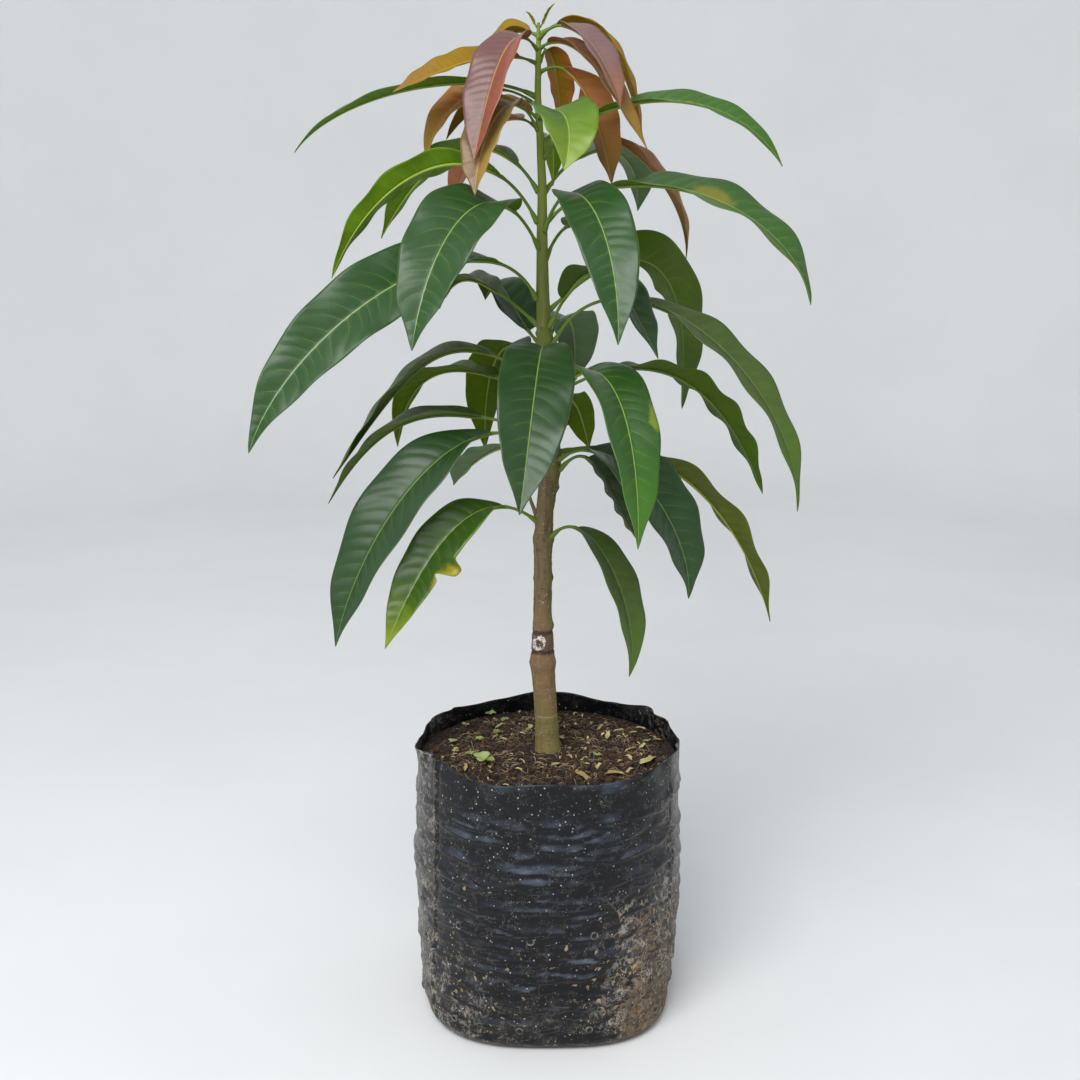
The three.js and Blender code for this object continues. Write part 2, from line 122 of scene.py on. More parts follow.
class Shader:
    """One material, whose nodes are added by calls and end in a Principled BSDF."""

    def __init__(self, name: str) -> None:
        """Makes a material with an empty node tree."""
        self.material = bpy.data.materials.new(name)
        self.material.use_nodes = True
        self.tree = self.material.node_tree
        self.tree.nodes.clear()

    def node(
        self,
        kind: str,
        settings: dict[str, object] | None = None,
        inputs: dict[str | int, object] | None = None,
        output: str | int = 0,
    ) -> Value:
        """Adds any node.

        Args:
            kind: The node's type.
            settings: Its own settings, such as an operation, which are set first.
            inputs: Values or links of its sockets, by name or index.
            output: The output socket to return.

        Returns:
            That output.
        """
        made = self.tree.nodes.new(kind)
        for key, setting in (settings or {}).items():
            setattr(made, key, setting)
        for key, given in (inputs or {}).items():
            socket = made.inputs[key]
            if isinstance(given, Value):
                self.tree.links.new(given.socket, socket)
            elif socket.type == "RGBA":
                socket.default_value = (*given, 1)
            else:
                socket.default_value = given
        return Value(self, made.outputs[output])

    def math(self, operation: str, *terms: Value | float) -> Value:
        """Adds a Math node.

        Args:
            operation: What the node works out, such as "MULTIPLY".
            terms: Its inputs, in order.

        Returns:
            The node's result.
        """
        return self.node("ShaderNodeMath", {"operation": operation}, dict(enumerate(terms)))

    def place(self, scale: Triple = (1, 1, 1)) -> Value:
        """Object coordinates in metres, each axis multiplied by scale."""
        at = self.node("ShaderNodeTexCoord", output="Object")
        return self.node("ShaderNodeVectorMath", {"operation": "MULTIPLY"}, {0: at, 1: scale})

    def axes(self, vector: Value) -> tuple[Value, Value, Value]:
        """Splits a vector into its three parts."""
        split = self.node("ShaderNodeSeparateXYZ", inputs={0: vector})
        outputs = split.socket.node.outputs
        return tuple(Value(self, outputs[i]) for i in range(3))

    def join(self, x: Value | float, y: Value | float, z: Value | float) -> Value:
        """Makes a vector of three numbers."""
        return self.node("ShaderNodeCombineXYZ", inputs={0: x, 1: y, 2: z})

    def distance(self, at: Value, centre: Triple) -> Value:
        """How far a place is from a centre, in metres."""
        return self.node("ShaderNodeVectorMath", {"operation": "DISTANCE"}, {0: at, 1: centre}, 1)

    def attribute(self, name: str) -> Value:
        """Reads a number that the mesh carries at each vertex."""
        return self.node("ShaderNodeAttribute", {"attribute_name": name}, output="Fac")

    def noise(self, at: Value, scale: float, detail: float, roughness: float) -> Value:
        """Smooth noise from 0 to 1, with scale spots in each unit of its coordinates."""
        sockets = {"Vector": at, "Scale": scale, "Detail": detail, "Roughness": roughness}
        return self.node("ShaderNodeTexNoise", inputs=sockets)

    def grain(self, scale: float, detail: float, roughness: float = 0.6, squeeze: float = 1) -> Value:
        """Noise on the piece's own coordinates, squeezed along Z by a factor."""
        return self.noise(self.place((1, 1, squeeze)), scale, detail, roughness)

    def cells(self, at: Value, scale: float, feature: str = "F1") -> Value:
        """Distance to the nearest point, or edge, of scattered cells."""
        sockets = {"Vector": at, "Scale": scale}
        return self.node("ShaderNodeTexVoronoi", {"feature": feature}, sockets, output="Distance")

    def mix(self, share: Value | float, first: Value | Colour, second: Value | Colour) -> Value:
        """Blends two colours: first where share is 0 and second where it is 1."""
        sockets = {0: share, 6: first, 7: second}
        return self.node("ShaderNodeMix", {"data_type": "RGBA"}, sockets, output=2)

    def layers(self, tone: Value | Colour, *coats: tuple[Value | float, Value | Colour]) -> Value:
        """Lays coats over a colour, each a share and the colour that it turns to where that is 1."""
        for share, colour in coats:
            tone = self.mix(share, tone, colour)
        return tone

    def bump(self, height: Value, strength: float, depth_mm: float) -> Value:
        """Turns a height from 0 to 1 into a normal."""
        sockets = {"Strength": strength, "Distance": depth_mm * MM, "Height": height}
        return self.node("ShaderNodeBump", inputs=sockets)

    def surface(self, **sockets: Value | Colour | float) -> bpy.types.Material:
        """Ends the material in a Principled BSDF.

        Args:
            sockets: Its sockets, with underscores for spaces and words in lower case.

        Returns:
            The finished material.
        """
        names = {key.replace("_", " ").title().replace("Ior", "IOR"): key for key in sockets}
        inputs = {name: sockets[key] for name, key in names.items()}
        shaded = self.node("ShaderNodeBsdfPrincipled", inputs=inputs)
        end = self.tree.nodes.new("ShaderNodeOutputMaterial")
        self.tree.links.new(shaded.socket, end.inputs["Surface"])
        return self.material


# ---------------------------------------------------------------------------------------------
# Mesh helpers
# ---------------------------------------------------------------------------------------------


def active(piece: Piece) -> None:
    """Selects one object alone and makes it the active one."""
    bpy.ops.object.select_all(action="DESELECT")
    piece.select_set(True)
    bpy.context.view_layer.objects.active = piece


def grid(name: str, points: np.ndarray, values: dict[str, np.ndarray] | None = None) -> Piece:
    """Adds a grid primitive and lays its vertices along a surface.

    Args:
        name: The piece's name.
        points: Places in mm, as rows x columns x 3. Rows x columns turns to the outside.
        values: Numbers to carry at each vertex, as rows x columns, by name.

    Returns:
        The new piece.
    """
    rows, columns = points.shape[:2]
    bpy.ops.object.select_all(action="DESELECT")
    bpy.ops.mesh.primitive_grid_add(x_subdivisions=columns - 1, y_subdivisions=rows - 1, size=1)
    piece = bpy.context.object
    piece.name = piece.data.name = name
    piece.data.vertices.foreach_set("co", (points * MM).astype(np.float32).ravel())
    for key, numbers in (values or {}).items():
        layer = piece.data.attributes.new(key, "FLOAT", "POINT")
        layer.data.foreach_set("value", numbers.astype(np.float32).ravel())
    piece.data.update()
    return piece


def close(piece: Piece) -> Piece:
    """Merges the seam of a grid that was rolled into a tube, and fills its two ends."""
    active(piece)
    bpy.ops.object.mode_set(mode="EDIT")
    bpy.ops.mesh.select_all(action="SELECT")
    bpy.ops.mesh.remove_doubles(threshold=SEAM_GAP)
    bpy.ops.mesh.select_all(action="DESELECT")
    bpy.ops.mesh.select_non_manifold()
    bpy.ops.mesh.fill_holes(sides=0)
    bpy.ops.object.mode_set(mode="OBJECT")
    return piece


def rings(
    centres: np.ndarray, sides: np.ndarray, ups: np.ndarray, radii: np.ndarray, columns: int
) -> np.ndarray:
    """Points of a round tube.

    Args:
        centres: One centre for each ring.
        sides: The ring's first axis, of length 1.
        ups: Its second axis, so that side x up points on along the tube.
        radii: The ring's radius.
        columns: Faces round the tube.

    Returns:
        The points, as rings x (columns + 1) x 3, the last of each ring over the first.
    """
    turn = np.linspace(0, 2 * np.pi, columns + 1)
    round_it = np.cos(turn)[None, :, None] * sides[:, None] + np.sin(turn)[None, :, None] * ups[:, None]
    return centres[:, None] + radii[:, None, None] * round_it


def lathe(radii: np.ndarray, heights: np.ndarray) -> np.ndarray:
    """Points of rings about the Z axis, from a radius and a height for each ring and column."""
    turn = np.linspace(0, 2 * np.pi, radii.shape[1])
    heights = np.broadcast_to(heights, radii.shape)
    return np.stack([radii * np.cos(turn), radii * np.sin(turn), heights], -1)


def eased(share: np.ndarray) -> np.ndarray:
    """Eases from 0 at 0 to 1 at 1, and stays level beyond them."""
    share = np.clip(share, 0, 1)
    return share * share * (3 - 2 * share)


def turn_from(azimuth: float, turn: np.ndarray) -> np.ndarray:
    """Angle from an azimuth, in radians, at most half a turn either way."""
    return (turn - azimuth + np.pi) % (2 * np.pi) - np.pi


def compass(turn: float) -> tuple[np.ndarray, np.ndarray]:
    """Two level directions at an azimuth in radians: away from the axis, and across that."""
    out = np.array([math.cos(turn), math.sin(turn), 0])
    return out, np.array([-out[1], out[0], 0])


def ripple(points: np.ndarray) -> np.ndarray:
    """Smooth noise, about -1 to 1, at each place of an array. One unit is one spot."""
    values = [noise.noise(Vector(place)) for place in points.reshape(-1, 3)]
    return np.array(values).reshape(points.shape[:-1]) * NOISE_GAIN


def apply_modifier(piece: Piece, kind: str, **settings: object) -> None:
    """Adds a modifier with its settings and applies it."""
    active(piece)
    modifier = piece.modifiers.new(kind.lower(), kind)
    for key, setting in settings.items():
        setattr(modifier, key, setting)
    bpy.ops.object.modifier_apply(modifier=modifier.name)


def joined(pieces: list[Piece]) -> Piece:
    """Joins pieces into the first of them."""
    active(pieces[0])
    for piece in pieces[1:]:
        piece.select_set(True)
    bpy.ops.object.join()
    return pieces[0]


def dress(piece: Piece, *materials: bpy.types.Material) -> Piece:
    """Gives a piece its materials and smooth faces."""
    piece.data.materials.clear()
    for material in materials:
        piece.data.materials.append(material)
    piece.data.shade_smooth()
    return piece


def settle(piece: Piece, slot: str, *nodes: str) -> Piece:
    """Ties a finished piece to the plant's body and hides the nodes that it stands for."""
    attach(piece, BODY)
    if nodes:
        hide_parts(*nodes)
    return piece


def mesh_piece(name: str, points: list[Triple], faces: list[tuple[int, ...]]) -> Piece:
    """Adds a piece from its points, in metres, and its faces."""
    mesh = bpy.data.meshes.new(name)
    mesh.from_pydata(points, [], faces)
    piece = bpy.data.objects.new(name, mesh)
    bpy.context.collection.objects.link(piece)
    return piece


def thin_shape(x: np.ndarray, y: np.ndarray, z: np.ndarray, thickness: float) -> Piece:
    """A thin curved shape in units of its own, to be scattered."""
    shape = grid("thin_shape", np.stack([x, y, z], -1) / MM)
    apply_modifier(shape, "SOLIDIFY", thickness=thickness, offset=0)
    return shape


def scattered(name: str, shape: Piece, poses: list[tuple[np.ndarray, np.ndarray]]) -> Piece:
    """One mesh of many copies of a small shape, which is used up.

    Args:
        name: The piece's name.
        shape: The shape, in units of its own.
        poses: For each copy its place in mm and a 3 x 3 matrix that turns and sizes it in mm.

    Returns:
        The new piece.
    """
    corners = np.empty(len(shape.data.vertices) * 3)
    shape.data.vertices.foreach_get("co", corners)
    corners = corners.reshape(-1, 3)
    faces = [tuple(face.vertices) for face in shape.data.polygons]
    points = np.concatenate([corners @ turn.T + np.array(place) for place, turn in poses]) * MM
    count = len(corners)
    all_faces = [tuple(i + copy * count for i in face) for copy in range(len(poses)) for face in faces]
    bpy.data.objects.remove(shape)
    return mesh_piece(name, points.tolist(), all_faces)


def turned(spin: float, tip: float, size: Triple) -> np.ndarray:
    """A 3 x 3 matrix that sizes a shape, tips it about Y and spins it about Z, in radians."""
    c, s, ct, st = math.cos(spin), math.sin(spin), math.cos(tip), math.sin(tip)
    return np.array([[c * ct, -s, c * st], [s * ct, c, s * st], [-st, 0, ct]]) @ np.diag(size)


def tumbled(rng: random.Random, tilt: float, size: Triple) -> np.ndarray:
    """The same with any spin, tipped by up to tilt degrees either way."""
    return turned(rng.uniform(0, 2 * math.pi), math.radians(rng.uniform(-tilt, tilt)), size)


# ---------------------------------------------------------------------------------------------
# Finishes
# ---------------------------------------------------------------------------------------------


STALK_GREEN = rgb(96, 122, 44)
VEIN_LINE = (0.032, 0.006)  # share of the vein spacing at which a side vein has faded, and is full
VEIN_HALO = (0.3, 0.03)  # the same for the paler band along it
RIB_HALF_WIDTH = 0.00065  # of the midrib at the foot of the blade, in metres
NET_CELLS = 620  # meshes of the vein net in a metre
STAIN = 0.85  # how fully a margin, a tip or a spot takes its own colour


@dataclass(frozen=True)
class BladeFinish:
    """Colours of one leaf: its upper face, its underside, and how they vary over it."""

    face: Colour
    back: Colour
    rib: Colour
    vein: float = 0.26  # how far side veins turn to the rib's colour
    roughness: float = 0.34
    gloss: float = 0.42  # specular level of the upper face
    half: Colour | None = None  # upper face on the side that lies clockwise of the midrib, a second colour that paints the sheen and shade this half shows
    margin: Colour | None = None  # colour of the outer margin
    margin_from: float = 0.8  # share of the half-width where it starts
    tip: Colour | None = None
    tip_from: float = 0.7
    spot: Triple | None = None  # share along, share across and size of a ripe spot
    ripe: Colour = rgb(176, 164, 40)

    def upper(self, name: str) -> bpy.types.Material:
        """The glossy upper face."""
        return self._side(name, self.face, self.vein, self.roughness, self.gloss)

    def under(self, name: str) -> bpy.types.Material:
        """The paler, duller underside."""
        return self._side(name, self.back, self.vein * 0.7, self.roughness + 0.2, self.gloss * 0.4)

    def _side(
        self, name: str, body: Colour, vein: float, roughness: float, gloss: float
    ) -> bpy.types.Material:
        """One side of the blade.

        Args:
            name: The material's name.
            body: Colour between the veins.
            vein: How far the side veins turn to the rib's colour.
            roughness: Roughness between the veins.
            gloss: Specular level.

        Returns:
            The material.
        """
        shader = Shader(name)
        names = ("across", "along", "margin", "reach", "vein")
        across, along, margin, reach, order = (shader.attribute(key) for key in names)
        flat = shader.join(across, along, 0)
        cloud = shader.noise(flat, 55, 3, 0.55)
        drift = cloud - 0.5
        from_vein = order.math("PINGPONG", 0.5)
        line = from_vein.rise(*VEIN_LINE) * margin.rise(0.95, 0.2)
        halo = from_vein.rise(*VEIN_HALO) * margin.rise(0.9, 0.3)
        rib_line = (abs(across) - (1 - reach * 0.75) * RIB_HALF_WIDTH).rise(0.0002, -0.0001)
        net = shader.cells(flat, NET_CELLS, "DISTANCE_TO_EDGE").rise(0.12, 0.02)
        tone = shader.mix(cloud, lighter(body, 0.74), lighter(body, 1.22))
        # painted sheen and shade: one half of the upper face takes the half colour, a lit or shaded copy of
        # the face
        if self.half and body == self.face:
            other = shader.mix(cloud, lighter(self.half, 0.8), lighter(self.half, 1.18))
            tone = shader.mix((across + drift * 0.006).rise(0.001, -0.001), tone, other)
        coats = [
            (net * 0.07, lighter(self.rib, 0.8)),
            (halo * (vein * 0.12), self.rib),
            (line * vein, self.rib),
        ]
        if self.margin:
            coats.append(((margin + drift * 0.35).rise(self.margin_from, 1.0) * STAIN, self.margin))
        if self.tip:
            coats.append(((reach + drift * 0.25).rise(self.tip_from, 1.0) * STAIN, self.tip))
        if self.spot:
            place, side, size = self.spot
            ahead, beside = (reach - place) * 4.5, margin * across.math("SIGN") - side
            apart = ahead * ahead + beside * beside + drift * 0.5
            coats.append((apart.rise(size, 0) * STAIN, self.ripe))
        coats.append((margin.rise(0.97, 0.995) * 0.3, lighter(self.rib, 0.75)))
        coats.append((rib_line * 0.9, self.rib))
        relief = (1 - line) * 0.6 + (1 - net) * 0.25 + cloud * 0.15
        return shader.surface(
            base_color=shader.layers(tone, *coats),
            roughness=roughness + drift * 0.16 + line * 0.12,
            normal=shader.bump(relief, 0.35, 0.35),
            specular_ior_level=gloss,
        )

    def stem(self, name: str) -> bpy.types.Material:
        """The green stalk, which turns to the midrib's colour once it runs in the blade."""
        shader = Shader(name)
        spots = shader.grain(160, 3, 0.5)
        blade = shader.attribute("reach").rise(0.0, 0.07)
        tone = shader.layers(
            STALK_GREEN, (blade, lighter(self.rib, 0.9)), (spots * 0.4, lighter(STALK_GREEN, 0.6))
        )
        return shader.surface(
            base_color=tone, roughness=0.5, normal=shader.bump(spots, 0.2, 0.2), specular_ior_level=0.3
        )


# A half colour paints the sheen and shade that one half of a folded blade shows.
DEEP = BladeFinish(rgb(30, 62, 26), rgb(66, 88, 22), rgb(118, 144, 68))
LUSH = BladeFinish(rgb(33, 69, 27), rgb(74, 100, 12), rgb(130, 158, 76))
BRIGHT = BladeFinish(rgb(48, 90, 18), rgb(80, 112, 10), rgb(140, 166, 70))
SHADED = BladeFinish(rgb(34, 62, 16), rgb(64, 82, 12), rgb(132, 150, 60))
# painted backlight: both sides glow olive as if lit through the blade
BACKLIT_OLIVE = BladeFinish(rgb(64, 88, 8), rgb(74, 98, 4), rgb(124, 142, 50), roughness=0.5, gloss=0.2)
MOSS = BladeFinish(
    rgb(62, 80, 32), rgb(74, 96, 20), rgb(106, 126, 60), roughness=0.42, gloss=0.35,
    tip=rgb(72, 102, 22), tip_from=0.35,
)
GREYED = BladeFinish(rgb(70, 100, 62), rgb(96, 122, 84), rgb(150, 166, 100), roughness=0.44)
BROWNED = BladeFinish(rgb(56, 78, 22), rgb(82, 94, 30), rgb(146, 152, 70))
BACKLIT = BladeFinish(
    rgb(62, 104, 14), rgb(88, 122, 10), rgb(158, 180, 66), half=rgb(44, 88, 28), margin=rgb(84, 118, 8),
    margin_from=0.7,
)
PATCHED = BladeFinish(
    rgb(46, 84, 26), rgb(80, 108, 16), rgb(144, 168, 78), half=rgb(62, 94, 20), spot=(0.42, 0.12, 0.26),
    ripe=rgb(118, 116, 34),
)
SPOTTED = BladeFinish(
    rgb(36, 76, 22), rgb(80, 108, 24), rgb(150, 174, 80), spot=(0.5, 1.05, 0.12), ripe=rgb(112, 128, 34),
    tip=rgb(60, 112, 18), tip_from=0.5,
)
YELLOWING = BladeFinish(
    rgb(44, 76, 16), rgb(84, 108, 24), rgb(128, 150, 60), margin=rgb(96, 122, 20), margin_from=0.85,
    tip=rgb(124, 140, 22), tip_from=0.66, spot=(0.55, 1.02, 0.2), ripe=rgb(150, 138, 24),
)
LIME = BladeFinish(
    rgb(88, 124, 34), rgb(104, 136, 34), rgb(158, 178, 84), vein=0.2, roughness=0.38, half=rgb(72, 112, 48),
    tip=rgb(118, 140, 34), tip_from=0.35,
)
SPRING = BladeFinish(rgb(96, 132, 12), rgb(104, 132, 10), rgb(168, 188, 80), vein=0.25, roughness=0.42)
BUD = BladeFinish(rgb(126, 128, 50), rgb(120, 116, 48), rgb(150, 146, 70), vein=0.1, roughness=0.5)
BROWN = BladeFinish(
    rgb(126, 78, 36), rgb(132, 84, 30), rgb(168, 132, 66), vein=0.25, tip=rgb(120, 98, 20), tip_from=0.4
)
UMBER = BladeFinish(
    rgb(146, 116, 52), rgb(116, 90, 32), rgb(176, 152, 84), vein=0.35, roughness=0.3, gloss=0.38,
    half=rgb(112, 84, 48),
)
GOLD = BladeFinish(
    rgb(136, 106, 10), rgb(146, 112, 8), rgb(172, 144, 50), vein=0.25, roughness=0.42, gloss=0.22,
    tip=rgb(138, 100, 52), tip_from=0.5,
)
AMBER = BladeFinish(
    rgb(150, 92, 30), rgb(158, 98, 30), rgb(184, 142, 66), vein=0.25, tip=rgb(134, 116, 22), tip_from=0.4
)
ROSE = BladeFinish(
    rgb(134, 72, 54), rgb(140, 78, 52), rgb(176, 140, 84), vein=0.25, roughness=0.3, gloss=0.4,
    half=rgb(104, 72, 70),
)
# face greyed towards mauve: a painted sheen of the sky on the young leaf
MAUVE = BladeFinish(
    rgb(114, 86, 84), rgb(140, 92, 56), rgb(160, 128, 88), vein=0.2, roughness=0.3, tip=rgb(132, 84, 50),
    tip_from=0.5,
)
SALMON = BladeFinish(rgb(192, 122, 92), rgb(196, 124, 90), rgb(204, 156, 108), vein=0.2, roughness=0.36)
RUST = BladeFinish(
    rgb(152, 100, 60), rgb(154, 98, 54), rgb(176, 136, 70), vein=0.2, roughness=0.36, tip=rgb(122, 94, 32),
    tip_from=0.3,
)
TAN = BladeFinish(
    rgb(132, 92, 12), rgb(134, 98, 10), rgb(160, 132, 40), vein=0.25, roughness=0.4,
    margin=rgb(160, 92, 42), margin_from=0.3,
)


@dataclass(frozen=True)
class BarkFinish:
    """Bark that turns from olive at the foot through grey-brown to green. Heights are in metres."""

    foot: Colour = rgb(118, 108, 62)
    brown: Colour = rgb(118, 94, 66)
    grey: Colour = rgb(106, 90, 62)
    green: Colour = rgb(92, 104, 40)
    young: Colour = rgb(112, 132, 44)
    mossy: Colour = rgb(86, 92, 36)
    graft: Colour = rgb(98, 76, 62)
    crack: Colour = rgb(44, 30, 22)
    crust: Colour = rgb(222, 214, 204)
    brown_zone: Pair = (0.28, 0.32)  # where each colour has begun, and is full
    grey_zone: Pair = (0.355, 0.42)
    green_zone: Pair = (0.52, 0.62)
    young_zone: Pair = (0.68, 0.84)
    collar_foot: Pair = (0.345, 0.348)  # edges of the graft's brown band
    collar_top: Pair = (0.3725, 0.3695)
    grooves: tuple[Pair, ...] = ((0.3677, 0.0032), (0.3492, 0.003))  # height, half-width
    joint_line: float = 0.286  # pale line of an old leaf joint
    scar_edge: Pair = (0.0068, 0.0058)  # radii of the wound's pale crust
    scar_hollow: Pair = (0.0047, 0.0037)
    callus_edge: Pair = (0.0052, 0.0044)

    def material(self, scar: Triple, swirl: Triple) -> bpy.types.Material:
        """The bark.

        Args:
            scar: Centre of the healed graft wound, in metres.
            swirl: Centre of the callus that curls beside it.

        Returns:
            The material.
        """
        shader = Shader("bark")
        at = shader.place()
        side, _, height = shader.axes(at)
        streaks = shader.grain(380, 4, squeeze=0.12)
        blotches = shader.grain(80, 4, squeeze=0.5)
        fine = shader.grain(900, 3)
        ragged = shader.grain(240, 4, 0.7)
        woody, bare = height.rise(0.66, 0.5), height.rise(0.62, 0.5)
        pores = shader.grain(330, 3, squeeze=2.2).rise(0.6, 0.68) * blotches.rise(0.42, 0.56) * bare
        flakes = shader.grain(130, 5, 0.72, 1.5).rise(0.6, 0.66) * height.rise(0.35, 0.31)
        rungs = abs(shader.grain(40, 3, squeeze=4.5) - 0.5).rise(0.016, 0.004)
        scars = shader.grain(190, 3, squeeze=0.2).rise(0.56, 0.63) * height.rise(0.37, 0.4)
        level = height + (blotches - 0.5) * 0.06
        wavy = height + (ragged - 0.5) * 0.005
        collar = wavy.rise(*self.collar_foot) * wavy.rise(*self.collar_top)
        tone = shader.layers(
            self.foot,
            (level.rise(*self.brown_zone), self.brown),
            (level.rise(*self.grey_zone), self.grey),
            (level.rise(*self.green_zone), self.green),
            (level.rise(*self.young_zone), self.young),
            (side.rise(-0.003, 0.004) * height.rise(0.36, 0.38) * 0.6, self.mossy),
            (streaks.rise(0.48, 0.7) * 0.42, lighter(self.brown, 1.4)),
            (streaks.rise(0.46, 0.28) * (0.12 + woody * 0.3), self.crack),
            (scars * bare * 0.5, lighter(self.graft, 0.5)),
            (rungs * height.rise(0.345, 0.33) * 0.3, lighter(self.foot, 1.9)),
            (flakes * 0.32, lighter(self.foot, 2.1)),
            (collar * 0.9, self.graft),
        )
        for ring, reach in self.grooves:
            groove = abs(wavy - ring).rise(reach, reach * 0.3)
            tone = shader.mix(groove * (0.45 + blotches * 0.5), tone, self.crack)
        joint_line = abs(wavy - self.joint_line).rise(0.001, 0.0003)
        stub = shader.attribute("stub") + (ragged - 0.5) * 1.1
        from_swirl, from_scar = shader.distance(at, swirl), shader.distance(at, scar)
        curl = (from_swirl * 5000 + ragged * 5).math("SINE").rise(-0.2, 0.9)
        callus = shader.mix(curl, lighter(self.graft, 0.6), lighter(self.graft, 1.7))
        uneven = (ragged - 0.5) * 0.008 + (blotches - 0.5) * 0.012
        outer = (from_scar + uneven).rise(*self.scar_edge)
        hollow = (from_scar - uneven).rise(*self.scar_hollow)
        brushed = shader.noise(shader.place((1, 0.6, 2.0)), 420, 3, 0.75).rise(0.43, 0.53)
        tone = shader.layers(
            tone,
            (joint_line * 0.5, lighter(self.crust, 0.6)),
            (pores * 0.36, lighter(self.crust, 0.85)),
            (stub.rise(0.5, 1.1) * 0.45, self.crack),
            (from_swirl.rise(*self.callus_edge), callus),
            (outer * (0.15 + brushed * (0.4 + side.rise(0.003, -0.004) * 0.45)), self.crust),
            (hollow * (0.95 - fine.rise(0.56, 0.64) * 0.5), lighter(self.graft, 0.4)),
        )
        relief = streaks * 0.45 + fine * 0.25 + pores * 0.3
        return shader.surface(
            base_color=tone,
            roughness=0.55 + woody * 0.22,
            normal=shader.bump(relief, 0.45, 0.5),
            specular_ior_level=0.3,
        )


@dataclass(frozen=True)
class FilmFinish:
    """Black poly film with dust, dried mud, scuffs and a painted sheen on its creases. Places are in metres.
    """

    film: Colour = rgb(9, 11, 14)
    # painted reflection of the sky, laid on the creases' upward slopes
    painted_sheen: Colour = rgb(86, 94, 108)
    dust: Colour = rgb(112, 104, 94)
    mud: Colour = rgb(122, 104, 80)
    scratch: Colour = rgb(150, 142, 130)
    speck: Colour = rgb(196, 196, 194)
    right_mud: Pair = (0.035, 0.08)  # x over which the right side's mud sets in
    right_top: Pair = (0.165, 0.115)  # and the height over which it ends
    left_mud: Pair = (-0.045, -0.085)
    left_top: Pair = (0.125, 0.06)
    worn_side: Pair = (-0.1, -0.106)  # x over which the dull left side sets in

    def material(self) -> bpy.types.Material:
        """The film."""
        shader = Shader("poly_film")
        at = shader.place()
        x, y, z = shader.axes(at)
        cloud = shader.grain(16, 5)
        wisps = shader.grain(55, 6, 0.72, 2.4)
        fibres = shader.grain(210, 5, 0.74, 1.5)
        shreds = shader.grain(95, 4, 0.75, 1.8)
        drift = cloud - 0.5
        level = z + drift * 0.11
        right = (x + drift * 0.07).rise(*self.right_mud) * level.rise(*self.right_top)
        right = right * (1 - y.rise(-0.01, 0.05) * 0.6)
        left = (x + drift * 0.05).rise(*self.left_mud) * level.rise(*self.left_top)
        muddy = right + left * 0.55
        low = level.rise(0.07, 0.0)
        worn = x.rise(*self.worn_side) * (1 - y.rise(-0.06, 0.03) * 0.6)
        edges = abs(x).rise(0.09, 0.122)
        mud = (muddy * 0.42 + low * 0.12 + shreds * 0.6 + fibres * 0.35).rise(0.85, 0.96)
        line = abs(shader.grain(62, 3, squeeze=0.8) - 0.5).rise(0.03, 0.014)
        scrape = abs(shader.grain(120, 3, squeeze=0.6) - 0.47).rise(0.032, 0.014)
        lines = line * (muddy + edges * 0.6 + 0.1)
        lines = lines + scrape * (worn * 0.6 + muddy + edges * 0.3 + low * 0.3)
        lines = lines * wisps.rise(0.44, 0.56)
        grit = shader.cells(at, 190).rise(0.15, 0.09) * shader.grain(90, 2, 0.5).rise(0.42, 0.58)
        fine = shader.cells(shader.place((1, 1, 1.1)), 380).rise(0.2, 0.1) * wisps.rise(0.44, 0.58)
        # painted sheen: the creases' upward slopes, read from the slope attribute, are lightened as a sky
        # reflection would, most at the front
        front = (0 - y).rise(0.05, 0.11) * abs(x + 0.01).rise(0.1, 0.05)
        painted_sheen_mask = shader.attribute("slope").rise(0.06, 0.42)
        painted_sheen_mask = painted_sheen_mask * (0.3 + shader.grain(26, 3, 0.5).rise(0.4, 0.6) * 0.7)
        painted_sheen_mask = painted_sheen_mask * (0.35 + front * 0.65) * wisps.rise(0.25, 0.55)
        haze = (muddy * 0.3 + low * 0.12 + edges * 0.05 + worn * 0.18) * wisps.rise(0.36, 0.64)
        haze = haze + cloud.rise(0.5, 0.75) * 0.02
        strands = (fibres * 0.55 + shreds * 0.45).rise(0.4, 0.62)
        tone = shader.layers(
            self.film,
            (painted_sheen_mask * 0.74, self.painted_sheen),
            (haze, self.dust),
            (lines * 0.85, self.scratch),
            (mud * 0.8, shader.mix(strands, lighter(self.mud, 0.2), lighter(self.mud, 1.2))),
            (grit * 0.85, self.speck),
            (fine * 0.36, self.speck),
        )
        return shader.surface(
            base_color=tone,
            roughness=0.24 + wisps * 0.1 + (mud + grit) * 0.4 + haze * 0.5,
            normal=shader.bump(wisps * 0.45 + mud * 0.6 + lines * 0.2, 0.3, 0.8),
            specular_ior_level=0.26,
        )


@dataclass(frozen=True)
class PlainFinish:
    """A two-tone finish with fine grain, for the small things on the soil and the bag."""

    dark: Colour
    light: Colour
    roughness: float
    scale: float  # spots of the grain in a metre
    depth: float  # of the grain

    def material(self, name: str) -> bpy.types.Material:
        """The material."""
        shader = Shader(name)
        grain = shader.grain(self.scale, 4, 0.62)
        tone = shader.mix(grain.rise(0.32, 0.68), self.dark, self.light)
        relief = shader.bump(grain, 0.6, self.depth)
        return shader.surface(base_color=tone, roughness=self.roughness, normal=relief)


